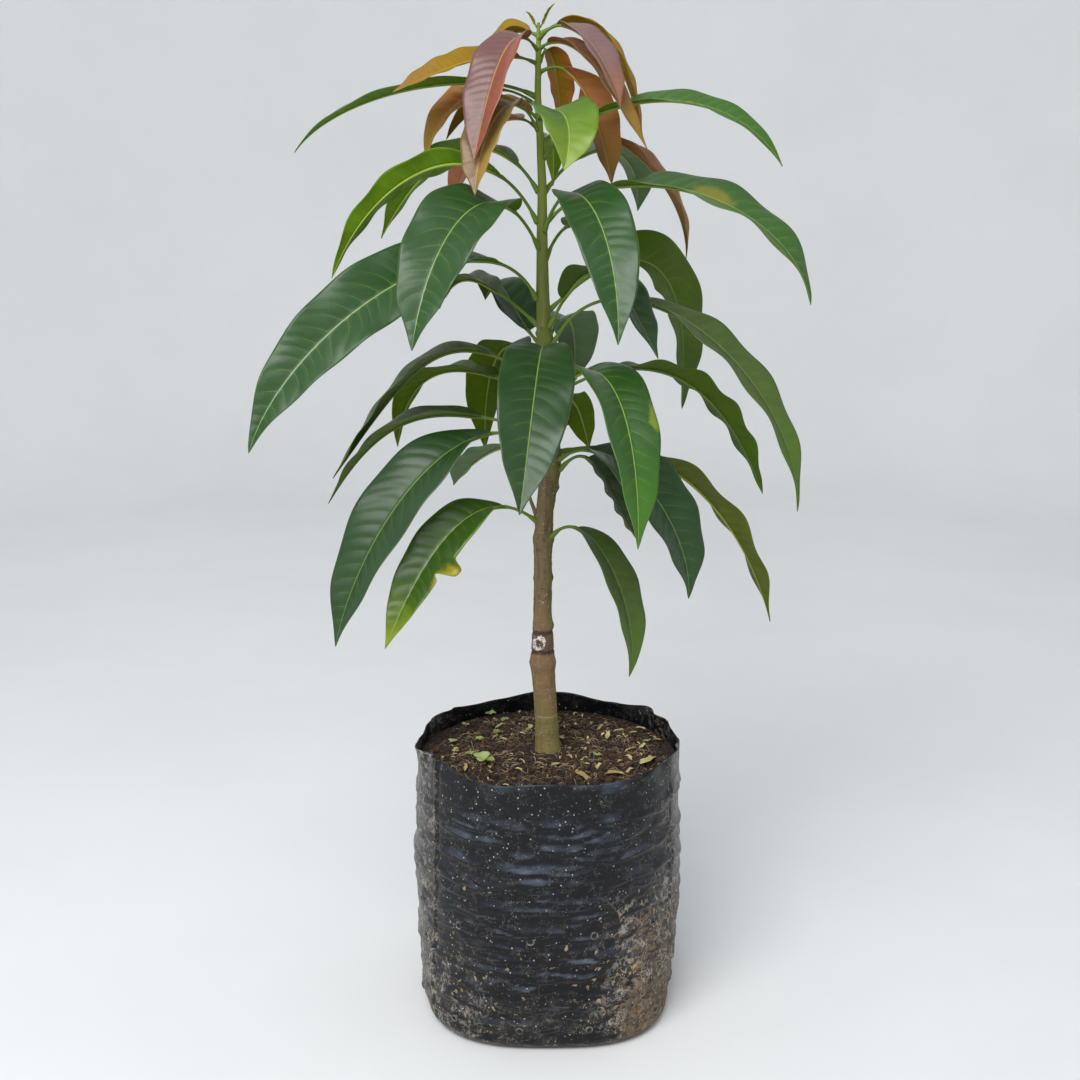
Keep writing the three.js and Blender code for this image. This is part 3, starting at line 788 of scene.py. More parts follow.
EARTH = PlainFinish(rgb(22, 15, 11), rgb(54, 38, 27), 0.95, 200, 2.0)
CRUMB = PlainFinish(rgb(28, 19, 13), rgb(82, 58, 41), 0.95, 90, 0.6)
FIBRE = PlainFinish(rgb(66, 48, 34), rgb(184, 158, 122), 0.9, 60, 0.2)
CHIP = PlainFinish(rgb(146, 124, 76), rgb(194, 188, 132), 0.7, 40, 0.3)
WEED = PlainFinish(rgb(104, 124, 58), rgb(160, 176, 104), 0.5, 50, 0.2)
LITTER = PlainFinish(rgb(92, 76, 54), rgb(170, 150, 116), 0.8, 60, 0.2)
HOLE = PlainFinish(rgb(6, 6, 6), rgb(34, 32, 24), 0.8, 300, 0.2)
# pale grain of a hole's lip: a painted highlight along its rim
LIP_HIGHLIGHT = PlainFinish(rgb(26, 27, 29), rgb(120, 118, 112), 0.5, 220, 0.2)
FLOOR = PlainFinish(rgb(228, 229, 229), rgb(232, 233, 233), 0.9, 2, 0.1)


# ---------------------------------------------------------------------------------------------
# Trunk
# ---------------------------------------------------------------------------------------------


@dataclass
class Trunk:
    """The stem with its bark relief, and the dead stalk that stands beside it."""

    # (height, lean towards +X, radius) from the flat cut to the growing tip
    profile: tuple[Triple, ...] = (
        (250, 0, 13), (262, -0.5, 11.2), (305, -3, 10.7), (328, -4.5, 11.2), (337, -5, 12.6), (344, -5, 10.8),
        (358, -5, 10.6), (368, -5, 9.9), (385, -5, 8.5), (440, -4.7, 8.3), (457, -4.7, 9.6), (466, -4, 8.4),
        (483, -3, 7.9), (508, 0, 8.9), (522, 3.2, 8.8), (540, 3.4, 8), (585, 0, 7), (635, -3, 6.8),
        (655, -4, 6.7), (675, -5, 6), (727, -5.7, 4.9), (774, -5.5, 3.9), (822, -7.8, 3.1), (850, -9.5, 2.9),
        (886, -8.8, 2.4), (909, -8.8, 1.2),
    )
    sunk: float = 6  # how far it runs on below the flat cut
    columns: int = 64
    ring_step: float = 1.3
    scar: Pair = (358.6, 252)  # height and azimuth of the graft's wound
    swirl: Pair = (357.6, 298)  # and of the callus beside it
    scar_reach: float = 7.5
    swirl_reach: float = 6
    smooth_zone: Pair = (480, 600)  # heights between which rough bark turns smooth
    least_rough: float = 0.12
    # swelling under a leaf's joint and dip above it: how far it stands out, offset, reach in stalk radii
    joint_swell: Triple = (1.1, -1.5, 2.0)
    joint_dip: Triple = (-0.5, 4.5, 1.0)
    spur: tuple[float, float, float, float] = (478, 175, 70, 24)  # height, azimuth, rise, length
    spur_rings: int = 24
    # share of the dead stalk's length, radius
    spur_taper: tuple[Pair, ...] = ((0, 3.4), (0.1, 2.4), (0.3, 1.8), (0.9, 1.4), (1, 0.9))
    # rings pressed into the bark: height, half-width, depth
    grooves: tuple[Triple, ...] = (
        (368, 1.7, 1.0), (349, 1.6, 0.9), (286, 1.0, 0.6), (274, 0.9, 0.3), (266, 0.9, 0.3),
    )
    # leaf scars and stubs on the bare stem: height, azimuth, reach, how far it stands out
    knots: tuple[tuple[float, float, float, float], ...] = (
        (375, 335, 5.5, 1.9), (376, 204, 4, 0.7), (420, 345, 6.5, 1.7), (419, 198, 4, 0.8),
        (427, 281, 3, 0.4), (420, 283, 3, 0.4), (411, 268, 3, 0.2), (401, 290, 3, 0.3),
        (438, 276, 3, 0.3), (396, 215, 4, 0.6), (448, 240, 5, 1.0), (457, 336, 7, 1.6),
        (474, 205, 6, 1.8), (505, 350, 6, 2.2), (430, 120, 6, 1.3), (492, 60, 6, 1.4),
        (408, 80, 5, 1.2), (516, 250, 4, 1.0), (333, 262, 2.5, 0.2), (628, 215, 5, 1.6),
        (641, 338, 5, 1.6), (650, 250, 4, 1.2), (645, 190, 4, 1.6), (596, 340, 4, 1.3),
        (592, 200, 4, 1.2), (300, 130, 5, 0.6),
    )

    def at(self, height: float) -> Pair:
        """The centre line's lean and the radius at a height."""
        heights, leans, radii = np.array(self.profile).T
        return float(np.interp(height, heights, leans)), float(np.interp(height, heights, radii))

    def side(self, height: float, azimuth: float, depth: float = 0) -> np.ndarray:
        """A point on the trunk's side, or depth mm under it."""
        lean, radius = self.at(height)
        out, _ = compass(math.radians(azimuth))
        return out * (radius - depth) + [lean, 0, height]

    def build(self, joints: list[Triple]) -> list[Piece]:
        """Makes the trunk and the dead stalk.

        Args:
            joints: Height, azimuth and stalk radius at each leaf's joint.

        Returns:
            The two pieces.
        """
        heights, leans, radii = np.array(self.profile).T
        levels = np.append(np.arange(heights[0] - self.sunk, heights[-1], self.ring_step), heights[-1])
        turn = np.linspace(0, 2 * np.pi, self.columns + 1)
        lean = np.interp(levels, heights, leans)[:, None]
        radius = np.interp(levels, heights, radii)[:, None]
        height = levels[:, None]
        relief, stub = self._relief(turn, height, radius, joints)
        centre = np.stack(np.broadcast_arrays(lean, 0 * lean, height), -1)
        out = np.stack([np.cos(turn), np.sin(turn), 0 * turn], -1)
        stem = close(grid("mango_stem", centre + (radius + relief)[..., None] * out, {"stub": stub}))
        marks = [self.side(*place, -0.5) * MM for place in (self.scar, self.swirl)]
        bark = BarkFinish().material(*(tuple(float(part) for part in mark) for mark in marks))
        settle(dress(stem, bark), "bark", "trunk")
        return [stem, self._spur(bark)]

    def _relief(
        self, turn: np.ndarray, height: np.ndarray, radius: np.ndarray, joints: list[Triple]
    ) -> tuple[np.ndarray, np.ndarray]:
        """The bark's relief.

        Args:
            turn: Azimuth of each column, in radians.
            height: Height of each ring, as a column.
            radius: Radius of each ring, as a column.
            joints: Height, azimuth and stalk radius at each leaf's joint.

        Returns:
            How far the bark stands out in mm, and how far it is a leaf scar or a stub, 0 to 1.
        """
        place = (turn, height, radius)
        low, high = self.smooth_zone
        woody = np.clip((high - height) / (high - low), self.least_rough, 1)
        unit = np.stack(np.broadcast_arrays(np.cos(turn) * 10, np.sin(turn) * 10, height + 0 * turn), -1)
        ridge = ripple(unit / [2.6, 2.6, 26]) * 0.16 + ripple(unit / [1.4, 1.4, 9] + 7) * 0.1
        lump = ripple(unit / [9, 9, 16] + 3) * 0.45
        band = ripple(unit / [30, 30, 2.6] + 11) * 0.16
        relief = (ridge + lump + band) * woody
        wobble = 1.2 * np.sin(turn + 0.7) + 0.5 * np.sin(3 * turn)
        for ring, reach, depth in self.grooves:
            relief = relief - depth * np.exp(-(((height - ring - wobble) / reach) ** 2))
        stub = 0 * relief
        for level, azimuth, reach, out in self.knots:
            mound = self._mound(place, level, azimuth, reach)
            relief += out * mound
            stub = np.maximum(stub, mound)
        for level, azimuth, thick in joints:
            for out, offset, reach in (self.joint_swell, self.joint_dip):
                relief += out * self._mound(place, level + offset, azimuth, thick * reach)
        scar = self._mound(place, *self.scar, self.scar_reach)
        swirl = self._mound(place, *self.swirl, self.swirl_reach)
        return relief + (2.0 * scar - 4.0 * scar**4 + 0.9 * swirl), stub

    def _mound(self, place: tuple[np.ndarray, ...], level: float, azimuth: float, reach: float) -> np.ndarray:
        """A round bump, 1 at its centre, at places given as turn, height and radius."""
        turn, height, radius = place
        away = turn_from(math.radians(azimuth), turn)
        span = np.hypot(away * radius, height - level) / reach
        return np.exp(-((span * 1.5) ** 2))

    def _spur(self, bark: bpy.types.Material) -> Piece:
        """The dead stalk."""
        level, azimuth, rise, length = self.spur
        lift = math.radians(rise)
        out, across = compass(math.radians(azimuth))
        along = out * math.cos(lift) + np.array([0, 0, math.sin(lift)])
        shares = np.linspace(0, 1, self.spur_rings)[:, None]
        start = self.side(level, azimuth, 1.2)
        bend = out * (shares * (1 - shares)) * 3
        centres = start + along * shares * length + bend
        radii = np.interp(shares[:, 0], *np.array(self.spur_taper).T)
        sides, ups = (np.tile(axis, (self.spur_rings, 1)) for axis in (across, np.cross(along, across)))
        points = rings(centres, sides, ups, radii, 14)
        return settle(dress(close(grid("dead_stalk", points)), bark), "bark", "spur")


# ---------------------------------------------------------------------------------------------
# Leaves
# ---------------------------------------------------------------------------------------------


ARCH_POINTS = 401  # places along a midrib at which its length is measured


class Age(Enum):
    """How ripe a leaf is: its material slot, fold in degrees, stalk radius, vein spacing and pleating."""

    MATURE = ("leaf_green", 17, 1.5, 12, 0.85)
    FRESH = ("leaf_fresh", 20, 1.3, 10, 0.6)
    BRONZE = ("leaf_bronze", 24, 1.1, 7.5, 0.7)
    PINK = ("leaf_pink", 24, 1.1, 7.5, 0.9)

    def __init__(self, slot: str, fold: float, stalk: float, spacing: float, pleat: float) -> None:
        """Names the parts of the value."""
        self.slot, self.fold, self.stalk, self.spacing, self.pleat = slot, fold, stalk, spacing, pleat


@dataclass(frozen=True)
class Leaf:
    """One leaf, placed by the same rule as its solid, in mm and degrees."""

    name: str
    at: Pair  # height of the joint, azimuth
    stalk: Pair  # length, rise above level
    tip: tuple[float, float, float, float]  # reach from the axis, drop, fall below level, sideways swing
    arch: float  # how far both ends of the arch run straight, as a share of its span
    blade: Pair  # width, roll about the midrib
    finish: BladeFinish
    wave: float = 1  # how wavy the margins are
    tear: Triple | None = None  # share along, reach and width of a torn lobe


class Arch:
    """The curve of one leaf's midrib, measured along its length."""

    def __init__(self, leaf: Leaf, trunk: Trunk, clearance: float) -> None:
        """Works out the curve.

        Args:
            leaf: The leaf.
            trunk: What it springs from.
            clearance: Gap between the trunk's side and the curve's start.
        """
        height, azimuth = leaf.at
        reach, drop, fall, swing = leaf.tip
        lean, radius = trunk.at(height)
        out, self.across = compass(math.radians(azimuth))
        origin = np.array([lean, 0, height])
        start = radius + clearance
        pull = leaf.arch * math.hypot(reach - start, drop)

        def spot(outward: float, up: float, sideways: float) -> np.ndarray:
            """A place by its distances from the joint."""
            return origin + out * outward + self.across * sideways + np.array([0, 0, up])

        rise, fall = math.radians(leaf.stalk[1]), math.radians(fall)
        self.corners = np.array([
            spot(start, 0, 0),
            spot(start + pull * math.cos(rise), pull * math.sin(rise), 0),
            spot(reach - pull * math.cos(fall), pull * math.sin(fall) - drop, swing / 3),
            spot(reach, -drop, swing),
        ])
        self.steps = np.linspace(0, 1, ARCH_POINTS)
        travel = np.linalg.norm(np.diff(self._bezier(self.steps), axis=0), axis=1)
        self.travel = np.concatenate([[0], np.cumsum(travel)])
        self.length = float(self.travel[-1])

    def _bezier(self, t: np.ndarray) -> np.ndarray:
        """Points of the curve."""
        a, b, c, d = self.corners
        t = t[:, None]
        return a * (1 - t) ** 3 + b * 3 * t * (1 - t) ** 2 + c * 3 * t**2 * (1 - t) + d * t**3

    def frame(self, distances: np.ndarray, roll: np.ndarray) -> tuple[np.ndarray, ...]:
        """Centres, directions, sides and normals.

        Args:
            distances: How far along the curve, in mm.
            roll: Turn about the curve there, in radians.

        Returns:
            Four arrays of vectors: centre, along, side and normal.
        """
        t = np.interp(distances, self.travel, self.steps)
        a, b, c, d = self.corners
        s = t[:, None]
        along = 3 * (1 - s) ** 2 * (b - a) + 6 * s * (1 - s) * (c - b) + 3 * s**2 * (d - c)
        along /= np.linalg.norm(along, axis=1, keepdims=True)
        side = self.across - along * (along @ self.across)[:, None]
        side /= np.linalg.norm(side, axis=1, keepdims=True)
        square = np.cross(along, side)
        side = side * np.cos(roll)[:, None] + square * np.sin(roll)[:, None]
        return self._bezier(t), along, side, np.cross(along, side)


@dataclass
class Foliage:
    """All leaves and the two leaflets."""

    trunk: Trunk
    leaves: dict[Age, list[Leaf]]
    clearance: float = 0.45
    swell: float = 0.55  # exponents of the outline, towards the stalk
    fade: float = 0.8  # and towards the tip
    drip: float = 0.4  # how much the last part draws in to a narrow drip tip
    drip_from: float = 0.78  # share of the blade where that begins
    least_half: float = 0.35  # half the width at both ends
    sway: float = 0.026  # height of the margins' waves, as a share of the width
    vein_slant: float = 0.3  # how far a side vein runs towards the tip for each mm outwards
    vein_curve: float = 0.015  # and how it curves that way
    vein_drift: float = 0.22  # how unevenly side veins are spaced, in spacings
    roll_run: float = 0.33  # share of the blade over which its roll builds up
    row_step: float = 1.7
    column_step: float = 2.6
    skin: float = 0.5  # thickness of a blade
    usual_width: float = 50  # of a blade whose veins stand as far apart as its kind says
    sunk: float = 1.6  # how far a stalk runs into the stem
    knee: float = 7.0  # longest run of a stalk's swollen foot
    rib_columns: int = 10

    def joints(self) -> list[Triple]:
        """Height, azimuth and stalk radius at each leaf's joint."""
        return [(*leaf.at, age.stalk) for age, leaves in self.leaves.items() for leaf in leaves]

    def outline(self, share: np.ndarray) -> np.ndarray:
        """Share of the full width at a share of the blade's length."""
        widest = self.swell / (self.swell + self.fade)
        share = np.clip(share, 0, 1)
        lance = (share / widest) ** self.swell * ((1 - share) / (1 - widest)) ** self.fade
        return lance * (1 - self.drip * eased((share - self.drip_from) / (1 - self.drip_from)))

    def build(self) -> list[Piece]:
        """Makes every leaf and leaflet."""
        made = [self._leaf(leaf, age) for age, leaves in self.leaves.items() for leaf in leaves]
        return made + [self._leaflet("left", 190, 11, 12), self._leaflet("right", 350, 14, 18)]

    def _leaflet(self, side: str, azimuth: float, reach: float, climb: float) -> Piece:
        """One of the two tiny leaflets at the growing tip."""
        leaf = Leaf(f"tip_{side}", (906, azimuth), (2, 50), (reach, -climb, -40, 0), 0.4, (6, 0), BUD)
        return self._leaf(leaf, Age.PINK, f"leaflet_{side}", 0.5)

    def _leaf(self, leaf: Leaf, age: Age, node: str = "", stalk: float = 0) -> Piece:
        """One leaf as one piece.

        Args:
            leaf: The leaf.
            age: Its kind.
            node: The node that it stands for, where that isn't named after the leaf.
            stalk: Radius of its stalk, where that isn't the kind's.

        Returns:
            The piece.
        """
        arch = Arch(leaf, self.trunk, self.clearance)
        blade = self._blade(leaf, age, arch)
        rib = self._rib(leaf, arch, stalk or age.stalk)
        name = f"mango_{leaf.name}"
        dress(blade, leaf.finish.upper(f"{name}_face"), leaf.finish.under(f"{name}_back"))
        apply_modifier(blade, "SOLIDIFY", thickness=self.skin * MM, offset=0, material_offset=1)
        dress(rib, leaf.finish.stem(f"{name}_stem"))
        piece = joined([blade, rib])
        piece.name = piece.data.name = name
        return settle(piece, age.slot, node or f"leaf_{leaf.name}")

    def _blade(self, leaf: Leaf, age: Age, arch: Arch) -> Piece:
        """The blade's middle surface, pleated between its veins and wavy at its margins."""
        rng = random.Random(leaf.name)
        width, roll = leaf.blade
        start = leaf.stalk[0]
        length = arch.length - start
        rows = max(20, round(length / self.row_step))
        half = max(4, round(width / 2 / self.column_step))
        share = np.linspace(0, 1, rows + 1)
        across = np.linspace(1, -1, 2 * half + 1)[None, :]
        away = np.abs(across)
        half_width = self._half_width(leaf, length, share, across)
        turn = math.radians(roll) * eased(share / self.roll_run)
        centre, _, side, normal = arch.frame(start + share * length, turn)
        fold = math.radians(age.fold)
        hand = np.sign(across)
        x = half_width * across
        y = (share * length)[:, None]
        drift = sum(
            self.vein_drift
            * np.sin(2 * np.pi * (y / rng.uniform(40, 90) + rng.random()) + hand * rng.uniform(0, 3))
            for _ in range(2)
        )
        spacing = age.spacing * (0.75 + 0.25 * width / self.usual_width)
        order = (y - self.vein_slant * np.abs(x) - self.vein_curve * x**2) / spacing + drift
        body = np.sin(np.pi * share)[:, None] ** 0.6
        pleat = (np.abs(np.sin(np.pi * order)) ** 0.8 - 0.5) * np.sin(np.pi * away**0.8) ** 0.5
        pleat = age.pleat * pleat * body
        waves = rng.uniform(3.2, 5.2)
        sway = self.sway * leaf.wave * width * body * away**2
        wave = sway * np.sin(2 * np.pi * (waves * share[:, None] + 0.25 * hand) + rng.uniform(0, 6))
        cup = half_width * math.sin(fold) * (1.25 * (np.sqrt(away**2 + 0.002) - 0.0447) - 0.2 * away**3)
        points = (
            centre[:, None]
            + side[:, None] * (x * math.cos(fold))[..., None]
            + normal[:, None] * (cup + pleat + wave)[..., None]
        )
        spread = np.ones_like(x)
        values = {
            "across": x * MM,
            "along": y * spread * MM,
            "margin": away * spread,
            "reach": share[:, None] * spread,
            "vein": order * spread,
        }
        return grid(leaf.name, points, values)

    def _half_width(self, leaf: Leaf, length: float, share: np.ndarray, across: np.ndarray) -> np.ndarray:
        """Half the blade's width at each row and column, with the torn lobe where the leaf has one."""
        half = np.maximum(leaf.blade[0] / 2 * self.outline(share), self.least_half)[:, None] + 0 * across
        if not leaf.tear:
            return half
        place, reach, wide = leaf.tear
        apart = (share[:, None] - place) * length
        notch = np.exp(-(((apart - 1.35 * wide) / (0.4 * wide)) ** 2))
        lobe = np.exp(-((apart / wide) ** 4)) - 0.45 * notch
        return half + reach * lobe * (across > 0) * np.abs(across) ** 3

    def _rib(self, leaf: Leaf, arch: Arch, stalk: float) -> Piece:
        """The stalk and the midrib that it runs on into."""
        start = leaf.stalk[0]
        distance = np.concatenate([
            np.linspace(-self.sunk, start, max(8, round(start / 2))),
            np.linspace(start, arch.length, max(16, round((arch.length - start) / 4)))[1:],
        ])
        share = np.clip((distance - start) / (arch.length - start), 0, 1)
        turn = math.radians(leaf.blade[1]) * eased(share / self.roll_run)
        centre, along, side, normal = arch.frame(np.maximum(distance, 0), turn)
        centre = centre + along * np.minimum(distance, 0)[:, None]
        knee = min(self.knee, start * 0.35)
        radius = stalk * np.interp(distance, [0, knee, knee * 1.6, start], [1.75, 1.45, 1.0, 0.95])
        radius = np.where(distance > start, stalk * (0.92 * (1 - share) ** 0.9 + 0.16), radius)
        radius = radius * (1 + 0.35 * np.exp(-(((distance - start) / 3) ** 2)))
        sunk = radius * 0.82 * np.clip(share * 18, 0, 1)
        centre = centre - normal * sunk[:, None]
        reach = np.where(distance < start, 0, share + 0.001)[:, None] + np.zeros(self.rib_columns + 1)
        points = rings(centre, side, normal, radius, self.rib_columns)
        return close(grid(f"{leaf.name}_rib", points, {"reach": reach}))


MATURE_LEAVES = [
    Leaf("low_left", (474, 212), (38, 40), (165, 96, 65, 0), 0.46, (46, -36), YELLOWING, tear=(0.5, 15, 8)),
    Leaf("low_right", (460, 326), (30, 50), (96, 118, 105, -4), 0.42, (40, 10), MOSS),
    Leaf("first_right_inner", (523, 335), (30, 50), (81, 60, 56, 7), 0.54, (61, -2), SHADED),
    Leaf("first_right_broad", (532, 327), (30, 38), (144, 110, 93, -3), 0.39, (66, 15), DEEP),
    Leaf("first_right_long", (538, 5), (45, 13), (210, 169, 75, 8), 0.39, (48, -19), BROWNED, wave=2.4),
    Leaf("first_left_broad", (540, 203), (55, 41), (207, 163, 78, -3), 0.4, (68, -28), DEEP),
    Leaf("first_left_narrow", (556, 178), (55, 17), (205, 68, 59, 0), 0.5, (48, 0), MOSS),
    Leaf("first_back_left", (535, 142), (45, 26), (116, 42, 52, 4), 0.36, (50, 0), GREYED),
    Leaf("first_back", (532, 95), (35, 25), (130, 25, 50, 0), 0.45, (50, 0), DEEP),
    Leaf("second_front", (629, 267), (30, 27), (177, 111, 65, -12), 0.38, (66, -10), DEEP),
    Leaf("second_right_front", (585, 302), (35, 45), (165, 102, 83, -17), 0.6, (56, 0), SPOTTED),
    Leaf("second_right", (590, 15), (55, 30), (215, 104, 68, 6), 0.48, (43, -20), MOSS, wave=2.4),
    Leaf("second_left", (599, 174), (50, 40), (200, 90, 54, 0), 0.54, (45, -8), MOSS),
    Leaf("second_left_back", (585, 148), (50, 25), (177, 60, 82, -7), 0.5, (46, 0), BACKLIT_OLIVE),
    Leaf("second_back_left", (611, 118), (40, 33), (152, 96, 85, -12), 0.52, (50, 0), BACKLIT_OLIVE),
    Leaf("second_back_right", (587, 62), (25, 5), (93, 61, 58, 4), 0.43, (31, -37), BACKLIT_OLIVE),
    Leaf("second_back", (600, 95), (35, 30), (135, 60, 70, 0), 0.45, (50, 0), DEEP),
    Leaf("third_right_long", (635, 338), (90, 64), (236, 131, 89, -11), 0.46, (38, 22), MOSS, wave=2.2),
    Leaf("third_right_broad", (666, 26), (55, 40), (153, 100, 92, 11), 0.75, (65, 62), BACKLIT_OLIVE),
    Leaf("third_right_inner", (652, 316), (30, 58), (142, 17, 52, -12), 0.7, (48, 0), DEEP),
    Leaf("third_back_right", (635, 70), (35, 42), (122, 50, 80, 14), 0.52, (50, 0), GREYED),
    Leaf("third_back_left", (635, 128), (20, 26), (96, -34, 59, -4), 0.55, (50, 0), DEEP),
    Leaf("third_left_inner", (653, 156), (45, 38), (107, -10, 67, -4), 0.54, (45, 0), SHADED),
    Leaf("third_left_long", (676, 204), (50, 64), (272, 118, 71, 11), 0.36, (65, -53), LUSH),
    Leaf("fourth_back_right", (711, 50), (40, 60), (118, 28, 72, 7), 0.53, (45, 0), BACKLIT_OLIVE),
    Leaf("fourth_left_front", (721, 230), (45, 55), (175, 76, 74, 10), 0.55, (67, -24), LUSH),
    Leaf("fourth_front", (736, 298), (40, 56), (162, 85, 80, -18), 0.51, (54, 22), LUSH),
    Leaf("fourth_left", (743, 192), (50, 64), (185, 47, 69, -1), 0.54, (34, 44), BACKLIT, wave=1.8),
    Leaf("fourth_right_long", (743, 341), (65, 47), (239, 66, 79, -6), 0.37, (51, 18), PATCHED, wave=1.8),
    Leaf("fourth_left_back", (769, 157), (30, 58), (161, 43, 61, 0), 0.52, (46, 8), BACKLIT),
    Leaf("fourth_right_back", (769, 44), (50, 48), (137, 19, 90, 12), 0.52, (52, 0), GREYED),
    Leaf("fifth_left", (849, 188), (35, 27), (209, 48, 55, 0), 0.28, (34, 0), BRIGHT),
    Leaf("fifth_right", (798, 330), (60, 50), (215, 9, 61, 20), 0.38, (32, 18), BRIGHT),
]
FRESH_LEAVES = [
    Leaf("fifth_front", (830, 297), (15, 24), (93, 44, 82, -25), 0.4, (56, 10), LIME),
    Leaf("fifth_back", (804, 80), (20, 32), (107, 31, 75, 7), 0.45, (24, 0), SPRING),
]
BRONZE_LEAVES = [
    Leaf("bronze_right_long", (812, 15), (62, 33), (138, 103, 92, 3), 0.38, (34, 26), BROWN),
    Leaf("bronze_left", (821, 227), (31, 58), (93, 55, 77, 14), 0.54, (42, -13), UMBER),
    Leaf("bronze_right", (888, 313), (10, 26), (125, 85, 50, 4), 0.34, (28, 0), BROWN),
    Leaf("olive_left", (832, 150), (5, 36), (100, 18, 46, -6), 0.43, (30, 0), GOLD),
    Leaf("olive_top", (899, 152), (8, 26), (50, 36, 95, 0), 0.5, (34, -30), GOLD),
    Leaf("gold_left", (876, 203), (15, 24), (131, 27, 24, 0), 0.3, (31, -26), GOLD),
    Leaf("gold_right", (900, 354), (15, 34), (90, 85, 76, 0), 0.48, (32, 4), GOLD),
    Leaf("orange_left", (842, 170), (30, 40), (100, 47, 82, 0), 0.45, (34, -46), AMBER),
]
PINK_LEAVES = [
    Leaf("pink_left", (887, 236), (17, 38), (94, 93, 72, 0), 0.42, (46, 0), ROSE),
    Leaf("pink_right", (896, 308), (32, 36), (108, 60, 68, 0), 0.38, (33, 0), MAUVE),
    Leaf("salmon_left", (822, 133), (20, 34), (122, 72, 70, 0), 0.4, (36, 0), SALMON),
    Leaf("salmon_inner", (878, 52), (12, 62), (33, 50, 85, 0), 0.58, (31, 0), TAN),
    Leaf("salmon_right", (869, 350), (20, 30), (65, 94, 80, -3), 0.36, (40, -60), RUST),
]


# ---------------------------------------------------------------------------------------------
# Bag and soil
# ---------------------------------------------------------------------------------------------


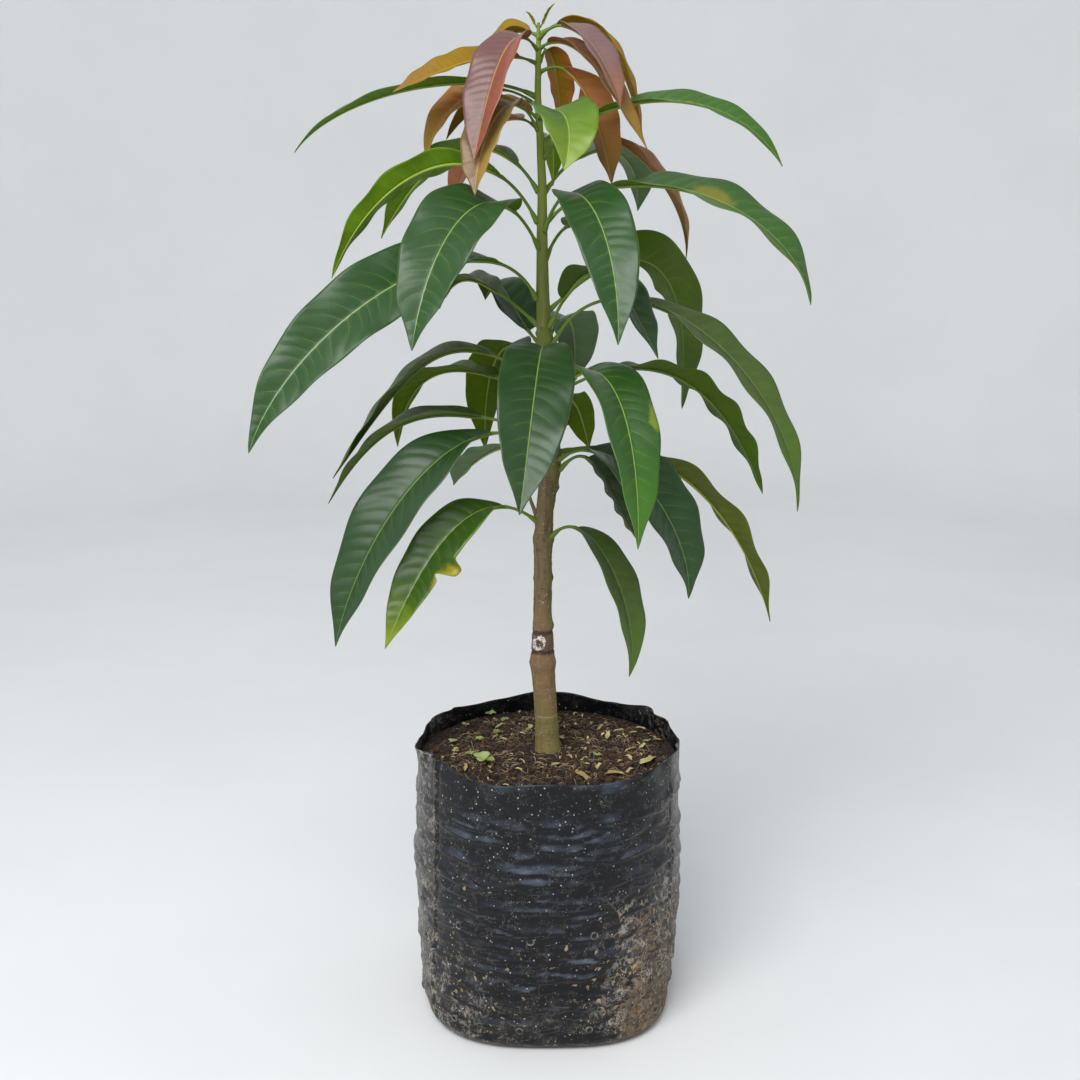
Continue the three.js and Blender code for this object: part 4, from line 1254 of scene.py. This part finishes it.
@dataclass
class GrowBag:
    """The poly bag: a thin wrinkled film with a slack rim, two side pleats and punched drain holes."""

    under_radius: float = 106
    foot_height: float = 14
    foot_radius: float = 119
    foot_rings: int = 7
    belly_height: float = 130
    belly_radius: float = 127
    rim_height: float = 262
    rim_radius: float = 123
    rim_wave: float = 2.5
    rim_waves: int = 6
    corner: float = 0.1  # how much farther the flattened bottom reaches at its four slack corners
    corner_height: float = 110  # where the corners fade out
    mid_radius: float = 123  # by which angles are turned to lengths along the film
    film: float = 0.7  # thickness that shows at the rim
    lining: float = 3.2  # how far the hidden inner wall keeps from the outer
    lining_heights: tuple[float, ...] = (236, 200, 150, 90, 40, 14)
    lip_rows: int = 8  # rows of the film's inner face that show above the soil
    base: float = 2  # thickness of the bottom
    base_rings: tuple[float, ...] = (0.004, 0.35, 0.7, 0.92)  # as shares of the underside's radius
    columns: int = 360
    row_step: float = 1.9
    pleats: Pair = (214, 332)  # azimuths of the folded-in sides
    # ridge and groove of a pleat: how far it stands out, offset, half-width
    pleat_profile: tuple[Triple, ...] = ((1.1, 0, 1.7), (-1.3, 3.2, 2.2))
    pinches: tuple[Pair, ...] = ((203, 6), (28, 5), (352, 4), (146, 4))  # azimuth, depth
    pinch_reach: float = 9
    hole_rows: Pair = (116, 20)
    holes_per_row: int = 12
    hole_radius: float = 3.0
    first_hole: float = 260  # azimuth of the first hole of a row
    hole_jitter: float = 3  # how far a hole strays, in degrees and in mm
    # outline of a hole: share of its radius, how far it stands out
    hole_profile: tuple[Pair, ...] = (
        (0.02, 0.1), (0.82, 0.1), (0.88, 0.5), (1.0, 0.65), (1.2, 0.4), (1.4, -0.6),
    )
    folds: int = 380
    fold_heights: Pair = (16, 228)
    fold_depths: Pair = (1.0, 3.4)
    rim_run: float = 26  # height over which the rim grows slack
    # stuck litter: azimuth, height, spread in degrees, spread in mm, number of bits
    litter: tuple[tuple[float, float, float, float, int], ...] = (
        (302, 85, 11, 28, 90), (312, 48, 10, 18, 60), (285, 60, 6, 22, 14), (240, 52, 9, 22, 34),
        (258, 60, 9, 16, 12), (236, 150, 4, 14, 6), (228, 100, 5, 30, 14), (35, 60, 16, 25, 50),
        (120, 45, 20, 20, 40), (180, 60, 12, 30, 30),
    )

    def radius(self, height: np.ndarray | float) -> np.ndarray:
        """Radius of the smooth bag at a height above its rounded bottom edge."""
        rise = np.clip((height - self.foot_height) / (self.belly_height - self.foot_height), 0, 1)
        low = self.foot_radius + (self.belly_radius - self.foot_radius) * np.sin(rise * np.pi / 2)
        share = np.clip((height - self.belly_height) / (self.rim_height - self.belly_height), 0, 1.1)
        return low + (self.rim_radius - self.belly_radius) * share**2

    def rim(self, turn: np.ndarray) -> np.ndarray:
        """Height of the slack rim round the bag."""
        on_ring = np.stack([np.cos(turn) * 4, np.sin(turn) * 4, 0 * turn], -1)
        return self.rim_height - self.rim_wave * np.cos(self.rim_waves * turn) + ripple(on_ring) * 1.2

    def stretch(self, turn: np.ndarray, height: np.ndarray) -> np.ndarray:
        """How much the corners draw the bag out, as a factor of its radius."""
        return 1 + self.corner * np.clip(1 - height / self.corner_height, 0, 1) * np.sin(2 * turn) ** 2

    def _folds(self, turn: np.ndarray, height: np.ndarray) -> np.ndarray:
        """The many short folds in which the slack film sags: steep below, a longer slope above."""
        rng = random.Random("folds")
        out = 0 * (turn + height)
        for _ in range(self.folds):
            azimuth, level = rng.uniform(0, 2 * math.pi), rng.uniform(*self.fold_heights)
            half, sag = 12 + 48 * rng.random() ** 1.5, rng.uniform(0.5, 7)
            depth, slope = rng.uniform(*self.fold_depths), rng.uniform(3.5, 8)
            aside = turn_from(azimuth, turn) * self.mid_radius
            above = height - level - sag * (aside / half) ** 2
            run = np.where(above > 0, above / slope, -above / 1.7)
            out = np.maximum(out, depth * np.exp(-(run**1.4) - (aside / half) ** 4))
        return out

    def relief(self, turn: np.ndarray, height: np.ndarray) -> np.ndarray:
        """How far the film stands out from the smooth bag.

        Args:
            turn: Azimuth in radians.
            height: Height, of the same shape.

        Returns:
            The relief in mm.
        """
        ring = np.stack([np.cos(turn) * self.mid_radius, np.sin(turn) * self.mid_radius, height], -1)
        wander = ripple(ring / [26, 26, 60] + 5) * 2.2
        folds = self._folds(turn, height + wander)
        calm = np.clip((self.rim_height - 10 - height) / self.rim_run, 0, 1) * np.clip(height / 25, 0.3, 1)
        out = ripple(ring / [80, 80, 60]) * 1.1 + (folds - 0.7) * calm
        out += ripple(ring / [13, 13, 6] + 29) * 0.25
        for azimuth in self.pleats:
            away = turn_from(math.radians(azimuth), turn) * self.mid_radius + 2.5 * np.sin(height / 37)
            out += sum(
                depth * np.exp(-(((away - offset) / half) ** 2)) for depth, offset, half in self.pleat_profile
            )
        near_rim = np.clip((height - self.rim_height + self.rim_run) / self.rim_run, 0, 1.2) ** 2
        flare = np.stack([np.cos(turn) * 3.2, np.sin(turn) * 3.2, height / 60], -1)
        out += near_rim * (ripple(flare + 53) * 3.4 + ripple(flare * 2.7 + 61) * 1.2)
        for azimuth, depth in self.pinches:
            away = turn_from(math.radians(azimuth), turn) * self.mid_radius
            out -= near_rim * depth * np.exp(-((away / self.pinch_reach) ** 2))
        return out

    def build(self) -> list[Piece]:
        """Makes the film, the drain holes and what sticks to the film."""
        turn = np.linspace(0, 2 * np.pi, self.columns + 1)
        rows = self._rows(turn)
        radii = np.array([radius * self.stretch(turn, height) for radius, height in rows])
        heights = np.array([height for _, height in rows])
        # how steeply each ring faces upward and out, which places the film's painted sheen
        fall, climb = np.gradient(radii, axis=0), np.gradient(heights, axis=0)
        slope = np.where(np.abs(climb) > 0.3, -fall / np.where(climb == 0, 1, climb), 0)
        bag = close(grid("poly_bag", lathe(radii, heights), {"slope": np.clip(slope, 0, 1)}))
        settle(dress(bag, FilmFinish().material()), "bag_film", "grow_bag")
        return [bag, self._holes(), self._bits()]

    def _rows(self, turn: np.ndarray) -> list[tuple[np.ndarray, np.ndarray]]:
        """Radius and height of each ring, from the underside up the film and down again inside it."""
        rim, level = self.rim(turn), 0 * turn
        rows = [(self.under_radius * share + level, level) for share in self.base_rings]
        for share in np.linspace(0, 1, self.foot_rings):
            bend = math.sqrt(max(0.0, 1 - (1 - share) ** 2))
            spread = self.under_radius + (self.foot_radius - self.under_radius) * bend
            height = share * self.foot_height + level
            rows.append((spread + self.relief(turn, height) * share, height))
        for share in np.linspace(0, 1, round((self.rim_height - self.foot_height) / self.row_step))[1:]:
            height = self.foot_height + share * (rim - self.foot_height)
            rows.append((self.radius(height) + self.relief(turn, height), height))
        top = rows[-1][0]
        rows.append((top - self.film * 0.5, rim + self.film * 0.35))
        rows.append((top - self.film, rim))
        for row in range(1, self.lip_rows + 1):
            height = rim - row * self.row_step
            rows.append((self.radius(height) + self.relief(turn, height) - self.film, height))
        for height in self.lining_heights:
            rows.append((self.radius(height) - self.lining + level, height + level))
        rows.append((self.under_radius - self.lining + level, self.base + level))
        rows.append((0.4 + level, self.base + level))
        return rows

    def surface(self, turn: float, height: float) -> float:
        """Radius of the creased film at one place."""
        at = np.array([turn]), np.array([height])
        return float(((self.radius(at[1]) + self.relief(*at)) * self.stretch(*at))[0])

    def _bits(self) -> Piece:
        """Dry bits of leaf and husk that stick to the muddy film."""
        rng = random.Random("stuck")
        share = np.linspace(0, 1, 5)
        half = np.sin(np.pi * np.clip(share, 0.04, 0.96)) ** 0.6
        across = np.linspace(1, -1, 4)
        x = (share[:, None] - 0.5) + 0 * across
        y = half[:, None] * across * (0.35 + 0.2 * np.sin(7 * share))[:, None]
        z = 0.3 * np.sin(5 * share)[:, None] * across
        flake = thin_shape(x, y, z, 0.12)
        poses = []
        for azimuth, level, spread, rise, count in self.litter:
            for _ in range(count):
                turn = math.radians(azimuth + rng.gauss(0, spread))
                height = max(18.0, level + rng.gauss(0, rise))
                out, aside = compass(turn)
                up = np.array([0, 0, 1])
                spin, length = rng.uniform(0, 2 * math.pi), 1.6 + 4.6 * rng.random() ** 2
                along = (math.cos(spin) * aside + math.sin(spin) * up) * length
                wide = (-math.sin(spin) * aside + math.cos(spin) * up) * length * rng.uniform(0.4, 0.9)
                middle = out * (self.surface(turn, height) + 0.25) + up * height
                poses.append((middle, np.stack([along, wide, out * 1.1], 1)))
        piece = dress(scattered("stuck_bits", flake, poses), LITTER.material("stuck_leaf"))
        return settle(piece, "soil")

    def _holes(self) -> Piece:
        """The drain holes: a shallow dark dish that paints the hole's shadow, in a raised lip with a painted
        pale highlight, all in one piece.
        """
        rng = random.Random("drain")
        profile = np.array(self.hole_profile)
        spread = np.linspace(0, 2 * np.pi, 13)
        round_it = np.cos(spread)[None, :, None], np.sin(spread)[None, :, None]
        up = np.array([0, 0, 1])
        made = []
        for row, level in enumerate(self.hole_rows):
            for i in range(self.holes_per_row):
                azimuth = self.first_hole + 360 * i / self.holes_per_row
                turn = math.radians(azimuth + rng.uniform(-self.hole_jitter, self.hole_jitter))
                height = level + rng.uniform(-self.hole_jitter, self.hole_jitter) + 3 * row
                reach = self.surface(turn, height) + 0.25
                size = self.hole_radius * rng.uniform(0.8, 1.1)
                out, across = compass(turn)
                disc = profile[:, None, :1] * size * (round_it[0] * across + round_it[1] * up)
                points = out * (reach + profile[:, None, 1:]) + up * height + disc
                made.append(close(grid(f"hole_{row}_{i}", points)))
        piece = joined(made)
        piece.name = piece.data.name = "drain_holes"
        dress(piece, HOLE.material("hole_shadow"), LIP_HIGHLIGHT.material("hole_lip"))
        sides = len(spread) - 1
        for face in piece.data.polygons:
            inner = face.index % (sides * (len(profile) - 1) + 2) < sides or len(face.vertices) > 4
            face.material_index = 0 if inner else 1
        return settle(piece, "bag_film")


@dataclass
class PottingSoil:
    """The soil, and all that lies or grows on it."""

    bag: GrowBag
    surface: float = 250
    edge_drop: float = 5
    reach: float = 118  # radius of the surface
    seat: float = 0.6  # gap to the bag's inner wall
    floor: float = 4.0  # height of its underside
    wall_heights: tuple[float, ...] = (16, 60, 120, 180, 225, 240)
    rings: int = 58  # of the surface
    inner: float = 8  # radius of the innermost ring, inside the trunk
    collar: float = 13  # radius up to which the surface lies smooth round the trunk
    columns: int = 150
    clear: float = 0.022  # share of the surface's area that is kept clear round the trunk
    crumbs: int = 2600
    crumb_reach: float = 117
    fibres: int = 1050
    fibre_reach: float = 106
    chips: int = 130
    chip_reach: float = 112
    # where the largest chips lie: x, y, length
    large_chips: tuple[Triple, ...] = (
        (34, -72, 28), (66, -60, 28), (93, -28, 30), (8, -40, 18), (-87, 2, 15), (-77, -43, 12), (58, 34, 16),
        (78, 0, 13), (92, 59, 12), (12, 21, 12), (-26, -50, 12), (76, -50, 13), (52, 54, 10),
    )
    # and the weeds: x, y, length of a leaflet, number of leaflets
    weeds: tuple[tuple[float, float, float, int], ...] = (
        (-60, -40, 12, 4), (-66, 26, 5, 6), (-82, 68, 5, 4), (-58, 100, 6, 5), (-43, 86, 5, 5),
        (-74, -12, 5, 4), (-92, 20, 5, 4), (-100, -8, 4, 4), (-50, 40, 4, 5), (46, -20, 4, 5),
        (84, 40, 4, 4), (96, 30, 4, 4),
    )

    def height(self, x: np.ndarray, y: np.ndarray) -> np.ndarray:
        """Height of the soil's lumpy surface."""
        reach = np.hypot(x, y)
        at = np.stack([x, y, 0 * x], -1)
        lumps = ripple(at / 17) * 2.1 + ripple(at / 6 + 9) * 1.6 + ripple(at / 2.6 + 21) * 0.8
        ease = np.clip((reach - self.collar) / 10, 0.15, 1) * np.clip((120 - reach) / 8, 0, 1)
        return self.surface - self.edge_drop * (reach / self.reach) ** 2 + lumps * ease

    def top(self, x: float, y: float) -> float:
        """Height of the surface at one place."""
        return float(self.height(np.array([x]), np.array([y]))[0])

    def build(self) -> list[Piece]:
        """Makes the bed of soil and everything on it."""
        turn = np.linspace(0, 2 * np.pi, self.columns + 1)
        inside = self.bag.lining + self.seat
        rows = [(1.0, self.floor), (self.bag.under_radius - inside - 2, self.floor)]
        rows += [(float(self.bag.radius(height)) - inside, height) for height in self.wall_heights]
        radii = [radius + 0 * turn for radius, _ in rows]
        heights = [height + 0 * turn for _, height in rows]
        rim_radius = float(self.bag.radius(246)) - 1.4
        for reach in np.linspace(rim_radius, self.inner, self.rings):
            radii.append(reach + 0 * turn)
            heights.append(self.height(reach * np.cos(turn), reach * np.sin(turn)))
        bed = close(grid("soil_bed", lathe(np.array(radii), np.array(heights))))
        settle(dress(bed, EARTH.material("earth")), "soil", "potting_soil")
        return [bed, self._crumbs(), self._fibres(), self._chips(), self._weeds()]

    def _spot(self, rng: random.Random, lift: float, most: float) -> np.ndarray:
        """A random place within a radius, lift mm above the surface and clear of the trunk."""
        reach = most * math.sqrt(rng.uniform(self.clear, 1))
        turn = rng.uniform(0, 2 * math.pi)
        x, y = reach * math.cos(turn), reach * math.sin(turn)
        return np.array([x, y, self.top(x, y) + lift])

    def _crumbs(self) -> Piece:
        """Crumbs of soil."""
        rng = random.Random("crumbs")
        bpy.ops.object.select_all(action="DESELECT")
        bpy.ops.mesh.primitive_ico_sphere_add(subdivisions=1, radius=1)
        seed = bpy.context.object
        for vertex in seed.data.vertices:
            vertex.co *= 1 + 0.35 * noise.noise(vertex.co * 1.7)
        poses = []
        for _ in range(self.crumbs):
            size = 0.7 + 2.2 * rng.random() ** 3
            shape = (size * rng.uniform(0.8, 1.5), size, size * rng.uniform(0.6, 0.9))
            poses.append((self._spot(rng, size * 0.3, self.crumb_reach), tumbled(rng, 40, shape)))
        piece = scattered("soil_crumbs", seed, poses)
        return settle(dress(piece, CRUMB.material("soil_crumb")), "soil")

    def _fibres(self) -> Piece:
        """Curved root hairs and coir fibres, all in one piece."""
        rng = random.Random("fibres")
        points, faces = [], []
        for _ in range(self.fibres):
            self._fibre(rng, points, faces)
        return settle(dress(mesh_piece("coir_fibres", points, faces), FIBRE.material("coir")), "soil")

    def _fibre(self, rng: random.Random, points: list[Triple], faces: list[tuple[int, ...]]) -> None:
        """Adds one fibre of three sides, in metres, to lists of points and faces."""
        x, y, _ = self._spot(rng, 0, self.fibre_reach)
        heading = rng.uniform(0, 2 * math.pi)
        bend = rng.uniform(-0.5, 0.5)
        straight = rng.random()
        bend *= 1 - 0.75 * straight
        step = rng.uniform(0.8, 2.4) * (1 + straight)
        girth = rng.uniform(0.16, 0.42)
        arc = rng.uniform(0.2, 2.2)
        lift = [0.1, 0.7 * arc, arc, arc * 0.9, 0.5 * arc, 0.2]
        first = len(points)
        for ring, up in enumerate(lift):
            top = self.top(x, y) + up + 0.3
            thick = girth * (0.5 + 0.5 * math.sin(math.pi * (ring + 0.5) / len(lift)))
            for corner in range(3):
                turn = 2 * math.pi * corner / 3
                off = thick * math.cos(turn)
                points.append((
                    (x - off * math.sin(heading)) * MM,
                    (y + off * math.cos(heading)) * MM,
                    (top + thick * math.sin(turn)) * MM,
                ))
            heading += bend
            x, y = x + step * math.cos(heading), y + step * math.sin(heading)
        for ring in range(len(lift) - 1):
            for corner in range(3):
                here, there = first + ring * 3 + corner, first + ring * 3 + (corner + 1) % 3
                faces.append((here, there, there + 3, here + 3))
        last = first + 3 * (len(lift) - 1)
        faces += [(first + 2, first + 1, first), (last, last + 1, last + 2)]

    def _chips(self) -> Piece:
        """Dry bits of leaf and husk."""
        rng = random.Random("chips")
        share = np.linspace(0, 1, 9)
        half = np.interp(share, [0, 0.14, 0.4, 0.75, 1], [0.12, 0.85, 0.5, 0.95, 0.05])
        across = np.linspace(1, -1, 5)
        x = (share[:, None] - 0.5) + 0 * across
        y = half[:, None] * across * 0.5 + 0.2 * np.sin(3.6 * share)[:, None]
        z = 0.3 * np.abs(across) * half[:, None] + 0.24 * np.sin(4.4 * share)[:, None]
        flake = thin_shape(x, y, z, 0.06)
        poses = []
        for x, y, length in self.large_chips:
            shape = (length, length * 0.34, 5)
            poses.append((np.array([x, y, self.top(x, y) + 2.2]), tumbled(rng, 25, shape)))
        for _ in range(self.chips):
            length = 2.5 + 8 * rng.random() ** 1.6
            shape = (length, length * rng.uniform(0.25, 0.8), rng.uniform(1.5, 5))
            poses.append((self._spot(rng, 1.2, self.chip_reach), tumbled(rng, 35, shape)))
        return settle(dress(scattered("dry_chips", flake, poses), CHIP.material("dry_leaf")), "soil")

    def _weeds(self) -> Piece:
        """Small clover-like weeds: round leaflets that lean out from short stems."""
        rng = random.Random("weeds")
        across = np.linspace(1, -1, 5)
        share = np.linspace(0, 1, 7)
        half = np.sin(np.pi * np.clip(share, 0.02, 0.98) ** 1.3) ** 0.75
        x = share[:, None] + 0 * across
        y = half[:, None] * across * 0.42
        z = 0.1 * np.abs(across) * half[:, None] + 0.12 * np.sin(np.pi * share)[:, None]
        leaflet = thin_shape(x, y, z, 0.05)
        poses = []
        for x, y, size, count in self.weeds:
            first = rng.uniform(0, 2 * math.pi)
            for i in range(count):
                spin = first + 2 * math.pi * i / count + rng.uniform(-0.2, 0.2)
                tip = math.radians(rng.uniform(5, 28))
                foot = np.array([x, y, self.top(x, y) + 0.35 * size])
                poses.append((foot, turned(spin, -tip, (size, size, size))))
        piece = dress(scattered("small_weeds", leaflet, poses), WEED.material("weed_green"))
        return settle(piece, "leaf_fresh")


# ---------------------------------------------------------------------------------------------
# Studio
# ---------------------------------------------------------------------------------------------


@dataclass
class Studio:
    """Camera, pale floor that curves up into a wall all round, and soft light. Lengths in metres."""

    eye: Triple = (-0.0075, -1.3465, 0.7785)
    pitch: float = 13.5  # degrees below level
    lens_mm: float = 50
    sensor_mm: float = 36
    floor_radius: float = 3.2
    wall_height: float = 2.4
    wall_bend: float = 0.8  # radius of the curve between floor and wall
    lamp_place: Triple = (-0.7, -1.7, 2.2)
    lamp_aim: Triple = (0, 0, 0.5)  # the plant's middle
    lamp_size: float = 1.5
    lamp_power: float = 58
    sky: Colour = rgb(240, 243, 248)
    sky_strength: float = 0.72

    def build(self) -> None:
        """Makes them all."""
        self._camera()
        self._sky()
        self._lamp()
        self._floor()

    def _camera(self) -> None:
        """The camera."""
        data = bpy.data.cameras.new("camera")
        data.lens = self.lens_mm
        data.sensor_width = self.sensor_mm
        data.clip_start = 0.01
        camera = bpy.data.objects.new("camera", data)
        camera.location = self.eye
        camera.rotation_euler = (math.radians(90 - self.pitch), 0, 0)
        bpy.context.collection.objects.link(camera)
        bpy.context.scene.camera = camera

    def _sky(self) -> None:
        """Even light from an overcast sky."""
        world = bpy.data.worlds.new("sky")
        world.use_nodes = True
        background = world.node_tree.nodes["Background"]
        background.inputs["Color"].default_value = (*self.sky, 1)
        background.inputs["Strength"].default_value = self.sky_strength
        bpy.context.scene.world = world
        bpy.context.scene.view_settings.view_transform = "Standard"

    def _lamp(self) -> None:
        """A square soft light that faces the plant's middle."""
        data = bpy.data.lights.new("overhead", "AREA")
        data.size = self.lamp_size
        data.energy = self.lamp_power
        lamp = bpy.data.objects.new("overhead", data)
        lamp.location = self.lamp_place
        aim = Vector(self.lamp_aim) - Vector(self.lamp_place)
        lamp.rotation_euler = aim.to_track_quat("-Z", "Y").to_euler()
        bpy.context.collection.objects.link(lamp)

    def _floor(self) -> None:
        """The floor and its curved wall, open above."""
        turn = np.linspace(0, 2 * np.pi, 97)
        bend = np.linspace(0, np.pi / 2, 12)
        curve = self.wall_bend
        radii = [0.01, 1.0, *(self.floor_radius - curve + curve * np.sin(bend)), self.floor_radius]
        heights = [0, 0, *(curve - curve * np.cos(bend)), self.wall_height]
        rows = lathe(np.array(radii)[::-1, None] + 0 * turn, np.array(heights)[::-1, None] + 0 * turn) / MM
        floor = grid("floor", rows - [0, 0, 0.1])
        dress(floor, FLOOR.material("pale_floor"))


def main() -> None:
    """Builds the studio and the plant from the ground up, and reports each piece."""
    logging.basicConfig(level=logging.INFO, format="%(message)s")
    bpy.ops.object.select_all(action="DESELECT")
    trunk = Trunk()
    bag = GrowBag()
    lists = (MATURE_LEAVES, FRESH_LEAVES, BRONZE_LEAVES, PINK_LEAVES)
    foliage = Foliage(trunk, dict(zip(Age, lists)))
    Studio().build()
    pieces = bag.build()
    pieces += PottingSoil(bag).build()
    pieces += trunk.build(foliage.joints())
    pieces += foliage.build()
    for piece in pieces:
        LOG.info("%s: %d faces", piece.name, len(piece.data.polygons))
    LOG.info("%d pieces, %d faces", len(pieces), sum(len(piece.data.polygons) for piece in pieces))


if __name__ == "__main__":
    main()
